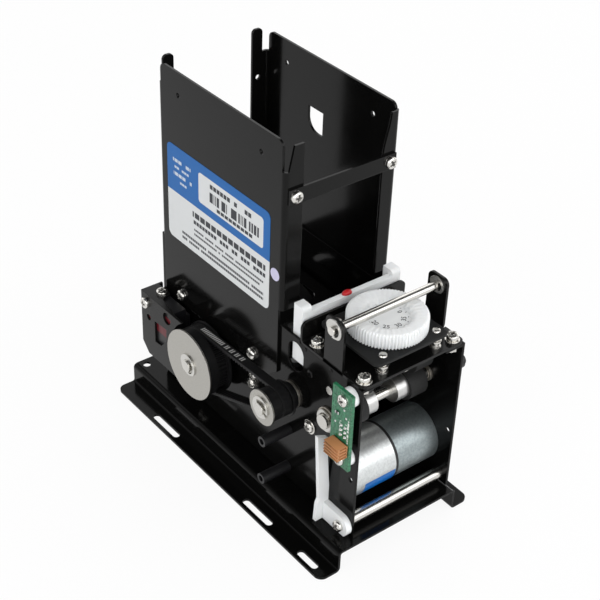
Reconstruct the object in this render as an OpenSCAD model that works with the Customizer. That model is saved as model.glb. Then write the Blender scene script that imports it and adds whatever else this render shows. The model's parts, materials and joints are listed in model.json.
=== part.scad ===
// Motor-driven card dispenser: slotted base, side plates, card hopper, belt drive and pinch dial.
// Millimetres. X is the width (belt side is -X), Y the length (cards leave at -Y), Z is up.
// The origin is the middle of the base's underside.

/* [Sheet metal] */
// Thickness of the painted sheet parts
sheet = 1.2; // [0.8:0.1:1.6]
// Inside radius of the bends
bend_r = 1; // [0.5:0.1:1.6]

/* [Card] */
// Width of a card
card_w = 54; // [50:0.5:60]
// Gap on each side of a card between the side plates
card_side_gap = 0.9; // [0.7:0.1:1]
// Length of a card
card_l = 85.6; // [80:0.2:90]
// Free length in the hopper beside the card
card_end_gap = 4.7; // [1:0.1:6]
// Height of the lowest card's underside
card_z = 73.8; // [70:0.2:80]

/* [Base] */
// Length of the base channel
base_l = 167; // [160:1:190]
// Width over both flanges
base_w = 90; // [88:1:110]
// Width of the raised web
web_w = 69.4; // [66:0.2:76]
// Height of the web's top face
base_h = 11.8; // [9:0.2:13]
// Radius of the flange corners
flange_corner = 4; // [1:0.5:6]
// Width of the mounting slots
slot_w = 3.6; // [3.2:0.1:4.4]
// Distance from a slot's middle to the flange edge
slot_edge = 3.6; // [3:0.1:4.4]
// Length of the long slots between their end centres
slot_l = 17.2; // [8:0.2:22]
// Length of the front slots between their end centres
slot_front_l = 9.4; // [4:0.2:12]
// Middle of the rear slots
slot_rear_y = 43.3; // [36:0.1:50]
// Middle of the centre slots
slot_mid_y = -32.9; // [-40:0.1:-28]
// Middle of the front slots
slot_front_y = -70.4; // [-72:0.1:-66]

/* [Chassis] */
// Sideways offset of the chassis on the base
chassis_x = 5.1; // [4.6:0.1:5.4]
// Front edge of the side plates
chassis_front_y = -78.9; // [-80:0.1:-76]
// Rear edge of the side plates
chassis_rear_y = 69; // [68:0.1:74]
// Width of the feet that stand on the web
foot_w = 9; // [6:0.5:12]
// Width of the tabs under the deck
tab_w = 11; // [9:0.5:12]
// Length of the tabs under the deck
tab_l = 9; // [8:0.5:10]
// Middle of the lever window in the left plate, along Y
window_y = -35; // [-36:0.1:-34]
// Middle of the lever window, height
window_z = 85.3; // [84:0.1:85.5]
// Width of the lever window
window_w = 10.8; // [8:0.2:11]
// Height of the lever window
window_h = 14.8; // [12:0.2:15]

/* [Deck] */
// Height of the deck's underside
deck_z = 94.2; // [93:0.1:98]
// Rear face of the deck's upturned flange
deck_rear_y = -37.6; // [-38:0.1:-37.3]
// Height of the flange over the deck
deck_flange_h = 9.6; // [6:0.2:12]
// Radius of the deck corners
deck_corner = 3; // [1:0.5:5]
// Height of the upright ears over the deck
ear_h = 24; // [22:0.5:30]
// Length of the ears
ear_l = 12; // [9:0.5:15]
// Radius of the guard rod
guard_r = 2; // [1.5:0.1:2.5]
// Air between the dial's top and the guard rod
guard_gap = 0.9; // [0.6:0.1:3]
// Radius of the guard rod's clips
guard_clip_r = 4.9; // [4:0.1:4.9]
// Distance of the deck screws from the middle plane
deck_screw_u = 24.8; // [23:0.1:24.8]
// Front deck screws
deck_screw_front_y = -75; // [-75.4:0.1:-73]
// Rear deck screws
deck_screw_rear_y = -44; // [-46:0.1:-42]

/* [Hopper] */
// Front face of the hopper
hopper_front_y = -25.6; // [-27:0.1:-25]
// Top of the hopper plates
hopper_top_z = 185.2; // [150:0.2:240]
// Lower edge of the hopper plates
hopper_bottom_z = 64.7; // [63:0.1:66]
// Rise of the rear ears over the hopper plates
rear_ear_h = 1.6; // [0.8:0.1:6]
// Depth of the front ears under the hopper plates' top
front_ear_drop = 2.4; // [1:0.1:5]
// Width of the left front flange
front_flange_w = 9.6; // [8:0.1:12]
// Width of the right front flange
front_flange_right_w = 8; // [7:0.1:9]
// Width of the right front flange's top
front_flange_top_w = 4.6; // [4:0.1:6.5]
// Height over which the right front flange narrows
front_flange_taper_h = 20; // [12:0.5:24]
// Lower end of the front flanges
front_flange_z = 103.6; // [101:0.2:110]
// Depth of the left front notch
front_notch_depth = 13.8; // [8:0.2:16]
// Width of the left front notch at the top
front_notch_w = 5.6; // [3:0.1:6.5]
// Width of the left rear flange below its ear
rear_flange_w = 11; // [10:0.1:12]
// Depth of the rear notches
rear_notch_depth = 10; // [8:0.2:16]
// Width of the right rear notch
rear_notch_w = 4.2; // [3:0.1:6]
// Width of the ears on the rear flanges
rear_ear_w = 5.6; // [4.6:0.1:6]
// Corner radius of the rear ears
rear_ear_r = 2.1; // [1:0.1:2.2]
// Distance of the rear flange's hole from its free edge
rear_hole_in = 3.3; // [2.5:0.1:4]
// Radius of the tapped holes in the hopper plates, at the core of an M3 thread
hopper_hole_r = 1.25; // [1:0.05:1.8]
// Rear tapped hole of each hopper plate, along Y
hopper_hole_rear_y = 51.2; // [46:0.1:54]
// Front tapped hole of each hopper plate, along Y
hopper_hole_front_y = -9.4; // [-12:0.1:-6]
// Depth of these holes under the plates' top
hopper_hole_drop = 10.8; // [8:0.1:14]
// Depth of the rear flanges' holes under the plates' top
rear_hole_drop = 22.5; // [18:0.1:26]
// Radius of the hopper plates' top corners
hopper_corner_r = 3.2; // [2:0.1:4]
// Length of the bevel at the hopper plates' lower front corner
hopper_bevel_l = 9; // [5:0.1:12]
// Height of that bevel
hopper_bevel_h = 7; // [4:0.1:10]
// Height of the front strip's middle under the hopper's top
strip_drop = 25.2; // [14:0.2:40]
// Height of the front strip
strip_h = 7.2; // [6.5:0.1:12]
// Distance of the strip's screws from the middle plane
strip_u = 25.3; // [25.1:0.1:25.5]
// Front edge of the view window in the right plate
view_y = 23.7; // [10:0.1:40]
// Depth of the view window's top under the plates' top
view_drop = 25; // [15:0.1:40]
// Length of the view window
view_l = 10.6; // [9:0.1:16]
// Height of the view window
view_h = 12; // [9:0.1:20]
// Length of the label
label_l = 77.4; // [60:0.2:80]
// Height of the label
label_h = 49; // [30:0.2:60]
// Distance from the hopper's front to the label
label_front = 9; // [7:0.1:10]
// Distance from the hopper's top to the label
label_drop = 36.6; // [20:0.2:40]
// Height of the hopper floor under the lowest card
floor_drop = 0.6; // [0.3:0.1:1]
// Gap under the gate plate for one card
gate_gap = 1.1; // [0.9:0.1:1.5]

/* [Card drive] */
// Pick shaft, along Y
pick_y = 23.5; // [22:0.1:25]
// Pick shaft, height
pick_z = 51.4; // [50.5:0.1:53]
// Feed shaft, along Y
feed_y = -33.3; // [-34:0.1:-32.8]
// Feed shaft, height
feed_z = 63.5; // [63:0.1:64]
// Exit shaft, along Y
exit_y = -58.8; // [-59.4:0.1:-58.4]
// Exit shaft, height
exit_z = 66.2; // [66:0.1:67]
// Radius of the pick and feed shafts
drive_shaft_r = 3; // [2.5:0.1:3]
// Radius of the exit shaft
exit_shaft_r = 2.5; // [2:0.1:3]
// Radius of the head on the exit shaft's left end
exit_head_r = 3.5; // [3:0.1:4]
// Radius of the clip on the exit shaft's left end
exit_clip_r = 5.4; // [4.6:0.1:5.4]
// Width of a pick wheel or feed roller
wheel_w = 8; // [6:0.5:10]
// Distance of the wheels from the middle plane
wheel_u = 14; // [11:0.5:16]
// Thickness of the rubber tyres
tyre_t = 2.4; // [1.5:0.1:4]
// Inner end of the exit hubs, from the middle plane
hub_u = 5.7; // [4:0.1:8]
// Length of an exit hub
hub_l = 6.5; // [4:0.1:7]
// Radius of an exit hub
exit_hub_r = 6; // [5:0.1:7]
// Length of an exit roller
exit_roller_l = 9.7; // [8:0.1:11]

/* [Belt drive] */
// Distance from the left plate to the pulleys' outer faces
pulley_reach = 16.8; // [16:0.1:18]
// Width of the pulleys over their flanges
pulley_w = 12.5; // [10:0.1:13]
// Thickness of the pulley flanges
pulley_flange_t = 0.9; // [0.6:0.1:1.4]
// Teeth of the big pulley
big_teeth = 48; // [44:1:50]
// Teeth of the small pulley
small_teeth = 20; // [18:1:22]
// Tooth pitch of the belt
belt_pitch = 2.032; // [1.8:0.001:2.1]
// Thickness of the belt
belt_t = 1.2; // [0.8:0.1:1.4]
// Width of the belt
belt_w = 4.8; // [4:0.1:6]
// Rise of the flanges over the belt's back
flange_rise = 0.9; // [0.4:0.1:1.2]

/* [Gear train] */
// Gear module
gear_m = 0.8; // [0.75:0.01:0.85]
// Teeth of the motor pinion
pinion_teeth = 14; // [12:1:16]
// Teeth of the idler
idler_teeth = 28; // [27:1:30]
// Teeth of the exit gear
exit_teeth = 20; // [19:1:21]
// Teeth of the feed gear
feed_teeth = 28; // [26:1:29]
// Width of the gears
gear_w = 4; // [3:0.2:4.4]
// Distance from the right plate to the gears
gear_reach = 3; // [2.8:0.1:3.4]
// Extra distance between gear centres
gear_slack = 0.1; // [0.05:0.01:0.2]

/* [Motor] */
// Motor axis, along Y
motor_y = -57.1; // [-58:0.1:-56]
// Motor axis, height
motor_z = 31.2; // [30:0.1:32]
// Radius of motor and gearbox
motor_r = 14.1; // [13:0.1:14.6]
// Length of the gearbox
gearbox_l = 24.8; // [18:0.2:28]
// Length of the motor can
can_l = 28; // [20:0.2:28]
// Radius of the output shaft
motor_shaft_r = 2; // [1.5:0.1:2.5]
// Depth of the output shaft in the gearbox
motor_shaft_in = 7; // [5:0.1:7.5]

/* [Dial and pinch] */
// Middle of the dial, along Y
dial_y = -59.7; // [-61:0.1:-58.5]
// Tip radius of the dial
dial_r = 17.9; // [17:0.1:18.4]
// Teeth of the dial
dial_teeth = 70; // [50:1:80]
// Height of the dial
dial_h = 6.9; // [6:0.1:8]
// Radius of the dial's recess
dial_recess_r = 10.8; // [9:0.1:12]
// Depth of the dial's recess
dial_recess_d = 1.9; // [1:0.1:3]
// Fall of the dial's top from its rim to the recess
dial_dish = 0.6; // [0.2:0.1:0.9]
// Air under the dial
dial_gap = 0.4; // [0.3:0.1:1]
// Width of the dial plate, without what it reaches further left and forward
dial_plate_w = 37.4; // [37:0.2:39]
// How much further the dial plate reaches to the left
dial_plate_left = 3.3; // [0:0.1:4]
// How much further the dial plate reaches forward
dial_plate_front = 0.8; // [0:0.1:1.2]
// Height of the spacers under the dial plate
dial_spacer_h = 7.6; // [6:0.1:10]
// Distance of the rivets from the dial's middle, along X and Y
rivet_u = 14.9; // [14.6:0.1:15.4]
// Radius of the threaded spindle
spindle_r = 2; // [1.5:0.1:2.5]
// How far the spindle reaches into the pinch yoke
spindle_reach = 4.4; // [3.6:0.1:4.4]
// Pinch shaft, along Y
pinch_y = -59.7; // [-60.5:0.1:-58.5]
// Pinch shaft, height
pinch_z = 82.9; // [82.6:0.1:84]
// Radius of the pinch shaft
pinch_shaft_r = 2; // [1.5:0.1:2.2]
// Gap between pinch and exit rollers at rest
pinch_gap = 0.65; // [0.5:0.05:1]
// Travel of the pinch shaft each way
pinch_travel = 0.3; // [0.2:0.05:0.4]

/* [Lever] */
// Middle of the lever's legs, along Y
lever_y = -33.7; // [-33.8:0.1:-33.2]
// Depth of the lever's legs
lever_d = 6.2; // [5:0.1:6.2]
// Lower edge of the legs
lever_low_z = 81.4; // [80.6:0.1:82]
// Pivot of the lever, along Y
lever_pivot_y = -45.2; // [-45.6:0.1:-44.8]
// Pivot of the lever, height
lever_pivot_z = 82.3; // [81.8:0.1:82.6]
// Height of the lever's top
lever_top_z = 110.6; // [106:0.2:116]
// Width of the lever's end blocks
lever_block_w = 4.9; // [4:0.1:7]
// Height of the cross bar
lever_bar_h = 6.5; // [4:0.1:8]
// Thickness of the cross bar
lever_bar_d = 2.8; // [2:0.1:4]
// Thickness of the legs
lever_leg_t = 2.8; // [2:0.1:3.4]
// Radius of the pivot pins
lever_pin_r = 1.5; // [1.2:0.1:1.6]

/* [Front board and guide] */
// Width of the front sensor board
board_w = 12.6; // [10:0.1:14]
// Lower edge of the board
board_z0 = 52.3; // [50:0.1:54]
// Upper edge of the board
board_z1 = 92.8; // [90:0.1:93.5]
// Thickness of the boards
board_t = 1.6; // [1:0.1:2]
// Length of the board spacers
board_spacer_l = 3; // [2:0.1:4]
// Radius of the spacers behind the board
board_spacer_r = 4.5; // [3.5:0.1:4.5]
// Distance of the board screws from the plate's front edge
board_screw_in = 5.6; // [5:0.1:7]
// Width of the board's connector
connector_l = 9.3; // [8:0.1:11]
// Depth of the board's connector
connector_d = 5.7; // [5:0.1:7]
// Height of the board's connector
connector_h = 6.5; // [6:0.1:8]
// Thickness of the cable guide's foot
guide_t = 3; // [2:0.1:4]
// Radius of the foot's lobe round its screw
guide_lobe_r = 5.4; // [5:0.1:5.4]
// Front face of the guide's fin
guide_fin_y = -62; // [-63:0.1:-61]
// Thickness of the fin
guide_fin_t = 2; // [1.5:0.1:3]
// Top of the fin
guide_top_z = 61.8; // [50:0.2:61.8]

/* [Rear bracket] */
// Distance from the left plate to the bracket's outer face
bracket_reach = 13.3; // [12.5:0.1:14]
// Top of the bracket
bracket_top_z = 67.5; // [66:0.1:70]
// Bottom of the bracket
bracket_bottom_z = 32.4; // [30:0.1:36]
// Radius of the relief around the big pulley
bracket_relief_r = 19.2; // [18.6:0.1:20]
// Depth of the rear sensor
sensor_d = 5; // [4:0.1:6]
// Thickness of the sensor's back
sensor_back = 3; // [2:0.1:3]
// How far the rear board's top lies under the sensor's
rear_board_drop = 3; // [2:0.1:4]

/* [Rods and fasteners] */
// Radius of the cross rods
rod_r = 3; // [2.5:0.1:3.5]
// Front cross rod, along Y
front_rod_y = -73.5; // [-75:0.1:-73]
// Front cross rod, height
front_rod_z = 16.4; // [16:0.1:18]
// Middle cross rod, along Y
mid_rod_y = -47.1; // [-48:0.1:-46]
// Middle cross rod, height
mid_rod_z = 54.1; // [53:0.1:54.5]
// Rear cross rod, along Y
rear_rod_y = 36; // [34:0.1:40]
// Rear cross rod, height
rear_rod_z = 20; // [17:0.1:21]
// Radius of the side posts
post_r = 2.6; // [2:0.1:3]
// Length of the side posts
post_l = 15.5; // [12:0.1:16]
// Side posts, along Y
post_y = -32.2; // [-34:0.1:-30]
// Radius of a screw's head
screw_head_r = 2.8; // [2.6:0.1:2.9]
// Height of a screw's head
screw_head_h = 2.2; // [1.6:0.1:2.4]
// Radius of a screw's thread
screw_r = 1.5; // [1.2:0.05:1.5]

/* [Clearances] */
// Radial running clearance of shafts
run_gap = 0.05; // [0.03:0.01:0.08]
// Radial clearance of pieces that are fixed in holes
fit_gap = 0.02; // [0.01:0.01:0.04]
// Air between moving and fixed faces
air_gap = 0.3; // [0.25:0.05:0.5]
// Extra radius of a screw hole
screw_gap = 0.1; // [0.05:0.01:0.2]

/* [Hidden] */
$fn = 64;
over = 0.5;
chassis_w = card_w + 2 * card_side_gap + 2 * sheet;
half_c = chassis_w / 2;
half_in = half_c - sheet;
half_h = half_c + sheet;
left_x = chassis_x - half_c;
right_x = chassis_x + half_c;
left_in = left_x + sheet;
right_in = right_x - sheet;
hopper_rear_y = hopper_front_y + card_l + card_end_gap + 2 * sheet;
ear_z = hopper_top_z + rear_ear_h;
front_ear_z = hopper_top_z - front_ear_drop;
slot_x = base_w / 2 - slot_edge;
slots = [[slot_rear_y, slot_l], [slot_mid_y, slot_l], [slot_front_y, slot_front_l]];
deck_top = deck_z + sheet;
deck_flange_z = deck_top + deck_flange_h;
deck_screws = [for (u = [-deck_screw_u, deck_screw_u])
  for (y = [deck_screw_front_y, deck_screw_rear_y]) [chassis_x + u, y]];
strip_z = hopper_top_z - strip_drop;
strip_end = 3.3;
hopper_screws = [51, -5.4];
hopper_screw_z = 69.4;
floor_z = card_z - floor_drop;
floor_skirt = 4;
screw_hole_r = screw_r + screw_gap;
exit_r = card_z - exit_z;
feed_r = card_z - feed_z;
pick_r = card_z - pick_z;
pinch_r = norm([pinch_y - exit_y, pinch_z - exit_z]) - exit_r - pinch_gap;
bush_wall = 1.5;
bush_flange_t = 1;
bush_rise = 2;
clip_t = 0.7;
exit_clip_x = left_x - bush_flange_t - air_gap - clip_t;
pulley_x0 = left_x - pulley_reach;
pulley_x1 = pulley_x0 + pulley_w;
big_r = big_teeth * belt_pitch / (2 * PI) - 0.25;
small_r = small_teeth * belt_pitch / (2 * PI) - 0.25;
tooth_depth = 0.5;
belt_x1 = pulley_x1 - pulley_flange_t - air_gap;
belt_x0 = belt_x1 - belt_w;
gear_x0 = right_x + gear_reach;
gear_x1 = gear_x0 + gear_w;
exit_p = [exit_y, exit_z];
feed_p = [feed_y, feed_z];
span = feed_p - exit_p;
reach_e = gear_m * (exit_teeth + idler_teeth) / 2 + gear_slack;
reach_f = gear_m * (feed_teeth + idler_teeth) / 2 + gear_slack;
reach_p = gear_m * (pinion_teeth + idler_teeth) / 2 + gear_slack;
along = (reach_e * reach_e - reach_f * reach_f + span * span) / (2 * norm(span));
beside = sqrt(reach_e * reach_e - along * along);
idler_p = exit_p + (span * along + [span[1], -span[0]] * beside) / norm(span);
to_motor = [motor_y, motor_z] - idler_p;
pinion_p = idler_p + to_motor * reach_p / norm(to_motor);
boss_r = 5;
dial_plate_z = deck_top + dial_spacer_h;
dial_z0 = dial_plate_z + sheet + dial_gap;
dial_z1 = dial_z0 + dial_h;
guard_z = dial_z1 + guard_gap + guard_r;
recess_z = dial_z1 - dial_recess_d;
spindle_top = recess_z - 1.2;
yoke_u = hub_u + hub_l - 2;
yoke_t = 1.8;
yoke_top = deck_z - 1.6;
washer_h = 1.4;
board_x = left_x - board_spacer_l - board_t;
board_screw_y = chassis_front_y + board_screw_in;
board_screws = [board_z0 + 4, board_z1 - 4.4];
lever_p = [lever_pivot_y, lever_pivot_z];
lever_out = half_in - 0.5;
bar_top = lever_top_z - 2.6;
gate_tab = 4;
exit_collar_r = exit_shaft_r + 0.7;
bracket_x = left_x - bracket_reach;
bracket_rear_y = chassis_rear_y - 0.2;
sensor_z1 = bracket_top_z - sheet;
sensor_front_y = pick_y + 20.5;
sensor_z0 = bracket_bottom_z + 8.6;
bracket_screw = [bracket_rear_y - 4.3, bracket_top_z - 5.2];
posts_z = [20.5, 42.5];
motor_screws = [-10, 10];
plate_screws = [[-5.8, 57.5], [-4.4, 51.3]];

// Outline of a bent strip: its line, turned to the left by the sheet's thickness
function heading(p, i) = (p[i + 1] - p[i]) / norm(p[i + 1] - p[i]);
function left_of(d) = [-d[1], d[0]];
function turned(v, a) = [v[0] * cos(a) - v[1] * sin(a), v[0] * sin(a) + v[1] * cos(a)];
function bend_angle(p, i) =
  let (a = heading(p, i - 1), b = heading(p, i)) atan2(a[0] * b[1] - a[1] * b[0], a * b);
function bend_arc(p, i, shift) =
  let (
    n0 = left_of(heading(p, i - 1)),
    n1 = left_of(heading(p, i)),
    turn = bend_angle(p, i),
    rho = turn > 0 ? bend_r + sheet : -bend_r,
    centre = p[i] + (n0 + n1) * rho / (1 + n0 * n1)
  )
  [for (k = [0:5]) centre - turned(n0, turn * k / 5) * (rho - shift)];
function bent_side(p, shift) =
  let (last = len(p) - 1)
  concat(
    [p[0] + left_of(heading(p, 0)) * shift],
    [for (i = [1:last - 1]) for (q = bend_arc(p, i, shift)) q],
    [p[last] + left_of(heading(p, last - 1)) * shift]
  );
function reversed(p) = [for (i = [len(p) - 1:-1:0]) p[i]];
function bent(p) = concat(bent_side(p, 0), reversed(bent_side(p, sheet)));

// Toothed outline, and the turn that puts one gear's gap at another's tooth
function toothed(count, root, tip, phase, wide, narrow) =
  [for (i = [0:count - 1]) for (c = [[root, -wide], [tip, -narrow], [tip, narrow], [root, wide]])
    let (a = phase + (i + c[1]) * 360 / count) c[0] * [cos(a), sin(a)]];
function toward(a, b) = atan2(b[1] - a[1], b[0] - a[0]);
function wrapped(a, step) = a - step * floor(a / step);
function mesh_phase(count_a, phase_a, a, b, count_b) =
  let (step = 360 / count_a, way = toward(a, b))
  way + 180 + (wrapped(way - phase_a, step) / step - 0.5) * 360 / count_b;

idler_phase = 0;
exit_phase = mesh_phase(idler_teeth, idler_phase, idler_p, exit_p, exit_teeth);
feed_phase = mesh_phase(idler_teeth, idler_phase, idler_p, feed_p, feed_teeth);
pinion_phase = mesh_phase(idler_teeth, idler_phase, idler_p, pinion_p, pinion_teeth);

module rod_x(x0, x1, p, r) {
  translate([x0, p[0], p[1]]) rotate([0, 90, 0]) cylinder(h = x1 - x0, r = r);
}

module tube_x(x0, x1, p, r_out, r_in) {
  difference() {
    rod_x(x0, x1, p, r_out);
    rod_x(x0 - over, x1 + over, p, r_in);
  }
}

module rod_z(x, y, z0, z1, r) {
  translate([x, y, z0]) cylinder(h = z1 - z0, r = r);
}

module box(a, b) {
  translate(a) cube(b - a);
}

module slab_x(x0, x1) {
  translate([x0, 0, 0]) rotate([90, 0, 90]) linear_extrude(x1 - x0) children();
}

module slab_y(y0, y1) {
  translate([0, y1, 0]) rotate([90, 0, 0]) linear_extrude(y1 - y0) children();
}

// Modelled on the left of the middle plane, mirrored for the right
module on_side(side) {
  translate([chassis_x, 0, 0]) mirror([side > 0 ? 1 : 0, 0, 0]) children();
}

// What is left of a square corner outside its rounding, along Z, X or Y
module corner_z(x, y, sx, sy, r, z0, z1) {
  difference() {
    box([min(x - sx * r, x + sx * over), min(y - sy * r, y + sy * over), z0],
      [max(x - sx * r, x + sx * over), max(y - sy * r, y + sy * over), z1]);
    rod_z(x - sx * r, y - sy * r, z0 - over, z1 + over, r);
  }
}

module corner_x(y, z, sy, sz, r, x0, x1) {
  difference() {
    box([x0, min(y - sy * r, y + sy * over), min(z - sz * r, z + sz * over)],
      [x1, max(y - sy * r, y + sy * over), max(z - sz * r, z + sz * over)]);
    rod_x(x0 - over, x1 + over, [y - sy * r, z - sz * r], r);
  }
}

module corner_y(x, z, sx, sz, r, y0, y1) {
  difference() {
    box([min(x - sx * r, x + sx * over), y0, min(z - sz * r, z + sz * over)],
      [max(x - sx * r, x + sx * over), y1, max(z - sz * r, z + sz * over)]);
    translate([x - sx * r, y1 + over, z - sz * r]) rotate([90, 0, 0])
      cylinder(h = y1 - y0 + 2 * over, r = r);
  }
}

module slot_z(x, y, length, width, z0, z1) {
  rod_z(x, y - length / 2, z0, z1, width / 2);
  rod_z(x, y + length / 2, z0, z1, width / 2);
  box([x - width / 2, y - length / 2, z0], [x + width / 2, y + length / 2, z1]);
}

module upright_slot(x0, x1, p, width, height) {
  reach = (height - width) / 2;
  rod_x(x0, x1, [p[0], p[1] - reach], width / 2);
  rod_x(x0, x1, [p[0], p[1] + reach], width / 2);
  box([x0, p[0] - width / 2, p[1] - reach], [x1, p[0] + width / 2, p[1] + reach]);
}

module gear(x0, x1, p, count, phase, bore_r) {
  root = gear_m * (count / 2 - 1.25);
  tip = gear_m * (count / 2 + 0.95);
  difference() {
    slab_x(x0, x1) translate(p) polygon(toothed(count, root, tip, phase, 0.29, 0.11));
    rod_x(x0 - over, x1 + over, p, bore_r);
  }
}

module pulley(p, count, r, hub_r) {
  bore_r = drive_shaft_r + fit_gap;
  back_r = r + air_gap + belt_t;
  rim_r = back_r + flange_rise;
  sleeve_x1 = belt_x0 - air_gap;
  difference() {
    union() {
      slab_x(sleeve_x1 - over, pulley_x1 - pulley_flange_t / 2)
        translate(p) polygon(toothed(count, r - tooth_depth, r, 0, 0.32, 0.22));
      rod_x(pulley_x0, pulley_x0 + pulley_flange_t, p, rim_r);
      rod_x(pulley_x0 + pulley_flange_t / 2, sleeve_x1, p, back_r);
      rod_x(pulley_x1 - pulley_flange_t, pulley_x1, p, rim_r);
      rod_x(pulley_x1 - over, left_x - bush_flange_t - air_gap, p, hub_r);
    }
    rod_x(pulley_x0 - over, left_x, p, bore_r);
  }
}

// Pan-head screw along +Z, its head's seat at the origin
module screw(length) {
  rotate_extrude() polygon([[0, -length], [screw_r, -length], [screw_r, 0], [screw_head_r, 0],
    [screw_head_r, screw_head_h * 0.5], [screw_head_r * 0.82, screw_head_h * 0.84],
    [screw_head_r * 0.45, screw_head_h], [0, screw_head_h]]);
}

module screw_left(x, y, z, length) {
  translate([x, y, z]) rotate([0, -90, 0]) screw(length);
}

module screw_right(x, y, z, length) {
  translate([x, y, z]) rotate([0, 90, 0]) screw(length);
}

module bush(face, side, p, shaft_r) {
  x0 = side < 0 ? face - bush_flange_t : face - sheet - 1;
  flange_x = side < 0 ? face - bush_flange_t : face;
  difference() {
    union() {
      rod_x(x0, x0 + bush_flange_t + sheet + 1, p, shaft_r + run_gap + bush_wall);
      rod_x(flange_x, flange_x + bush_flange_t, p, shaft_r + run_gap + bush_wall + bush_rise);
    }
    rod_x(x0 - over, x0 + 5, p, shaft_r + run_gap);
  }
}

module clip(x0, p, shaft_r, outer_r = 0) {
  tube_x(x0, x0 + clip_t, p, outer_r > 0 ? outer_r : shaft_r * 1.9, shaft_r + fit_gap);
}

module base_plate() {
  half_web = web_w / 2 - sheet;
  difference() {
    slab_y(-base_l / 2, base_l / 2) polygon(bent([[-base_w / 2, 0], [-half_web, 0],
      [-half_web, base_h - sheet], [half_web, base_h - sheet], [half_web, 0], [base_w / 2, 0]]));
    for (sx = [-1, 1]) {
      for (s = slots) slot_z(sx * slot_x, s[0], s[1], slot_w, -over, sheet + over);
      for (sy = [-1, 1])
        corner_z(sx * base_w / 2, sy * base_l / 2, sx, sy, flange_corner, -over, sheet + over);
      rod_z(sx * (web_w / 2 - 5.4), base_l / 2 - 4.2, base_h - 3, base_h + over, 2);
    }
  }
}

module chassis_side(side) {
  bottom = base_h + sheet;
  difference() {
    on_side(side) {
      slab_y(chassis_front_y, chassis_rear_y) polygon(bent([[-half_c + foot_w, bottom],
        [-half_in, bottom], [-half_in, deck_z]]));
      for (y = [chassis_front_y, deck_screw_rear_y - tab_l / 2])
        box([-half_in - 0.2, y, deck_z - sheet], [-half_c + tab_w, y + tab_l, deck_z]);
      box([-half_c, deck_rear_y + air_gap, deck_z - over], [-half_in, chassis_rear_y, deck_top]);
    }
    x0 = side < 0 ? left_x - over : right_in - over;
    x1 = side < 0 ? left_in + over : right_x + over;
    box([left_in, chassis_front_y - over, base_h - over],
      [right_in, front_rod_y + rod_r + 2, base_h + 2 * sheet]);
    rod_x(x0, x1, [pick_y, pick_z], drive_shaft_r + run_gap + bush_wall + fit_gap);
    rod_x(x0, x1, feed_p, drive_shaft_r + run_gap + bush_wall + fit_gap);
    rod_x(x0, x1, exit_p, exit_shaft_r + run_gap + bush_wall + fit_gap);
    upright_slot(x0, x1, [pinch_y, pinch_z], 2 * (pinch_shaft_r + run_gap),
      2 * (pinch_shaft_r + pinch_travel + air_gap));
    rod_x(x0, x1, lever_p, lever_pin_r + run_gap);
    for (p = [[front_rod_y, front_rod_z], [mid_rod_y, mid_rod_z], [rear_rod_y, rear_rod_z]])
      rod_x(x0, x1, p, screw_hole_r);
    for (y = hopper_screws) rod_x(x0, x1, [y, hopper_screw_z], screw_hole_r);
    rod_x(x0, x1, [chassis_front_y + 3.2, 43.5], 1.3);
    for (p = deck_screws) rod_z(p[0], p[1], deck_z - 3, deck_z + over, screw_hole_r);
    if (side < 0) {
      upright_slot(x0, x1, [window_y, window_z], window_w, window_h);
      for (z = board_screws) rod_x(x0, x1, [board_screw_y, z], screw_hole_r);
      for (p = plate_screws) rod_x(x0, x1, p, screw_hole_r);
    } else {
      rod_x(x0, x1, pinion_p, boss_r + fit_gap);
      rod_x(x0, x1, idler_p, motor_shaft_r + fit_gap);
      for (d = motor_screws) rod_x(x0, x1, [motor_y + d, motor_z - 2], screw_hole_r);
    }
  }
}

module left_chassis_plate() {
  chassis_side(-1);
}

module right_chassis_plate() {
  chassis_side(1);
}

module front_deck() {
  relief = sheet + bend_r + 0.4;
  ear_y0 = dial_y - ear_l / 2;
  ear_y1 = dial_y + ear_l / 2;
  ear_top = deck_top + ear_h;
  difference() {
    union() {
      difference() {
        slab_x(left_x, right_x) polygon(bent([[chassis_front_y, deck_z], [deck_rear_y, deck_z],
          [deck_rear_y, deck_flange_z]]));
        for (x = [left_x - over, right_x - relief])
          box([x, ear_y0 - 0.6, deck_z - over], [x + relief + over, ear_y1 + 0.6, deck_top + over]);
        for (e = [[left_x, -1], [right_x, 1]]) {
          corner_z(e[0], chassis_front_y, e[1], -1, deck_corner, deck_z - over, deck_top + over);
          corner_y(e[0], deck_flange_z, e[1], 1, deck_corner, deck_rear_y - 2 * sheet,
            deck_rear_y + over);
        }
      }
      for (side = [-1, 1]) on_side(side) slab_y(ear_y0, ear_y1)
        polygon(bent([[-half_c + 6, deck_top], [-half_in, deck_top], [-half_in, ear_top]]));
    }
    for (x = [left_x - over, right_in - over]) {
      corner_x(ear_y0, ear_top, -1, 1, 3, x, x + sheet + 2 * over);
      corner_x(ear_y1, ear_top, 1, 1, 3, x, x + sheet + 2 * over);
    }
    rod_x(left_x - over, right_x + over, [dial_y, guard_z], guard_r + fit_gap);
    rod_z(chassis_x, dial_y, deck_z - over, deck_top + over, spindle_r + 0.5);
    for (p = deck_screws) rod_z(p[0], p[1], deck_z - over, deck_top + over, screw_hole_r);
  }
}

// Both plates are one bent channel; widths of the front flange, front notch and rear notch
// What the right front flange loses at its top: its inner edge swings from the narrow top to the
// full width on a smooth step
function flange_taper(x1) = let (x0 = x1 - front_flange_right_w + front_flange_top_w, top = front_ear_z)
  concat([for (t = [0:0.1:1])
      [x0 + (x1 - x0) * t * t * (3 - 2 * t), top - t * front_flange_taper_h]],
    [[x1 + over, top - front_flange_taper_h], [x1 + over, top + over], [x0, top + over]]);

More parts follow.
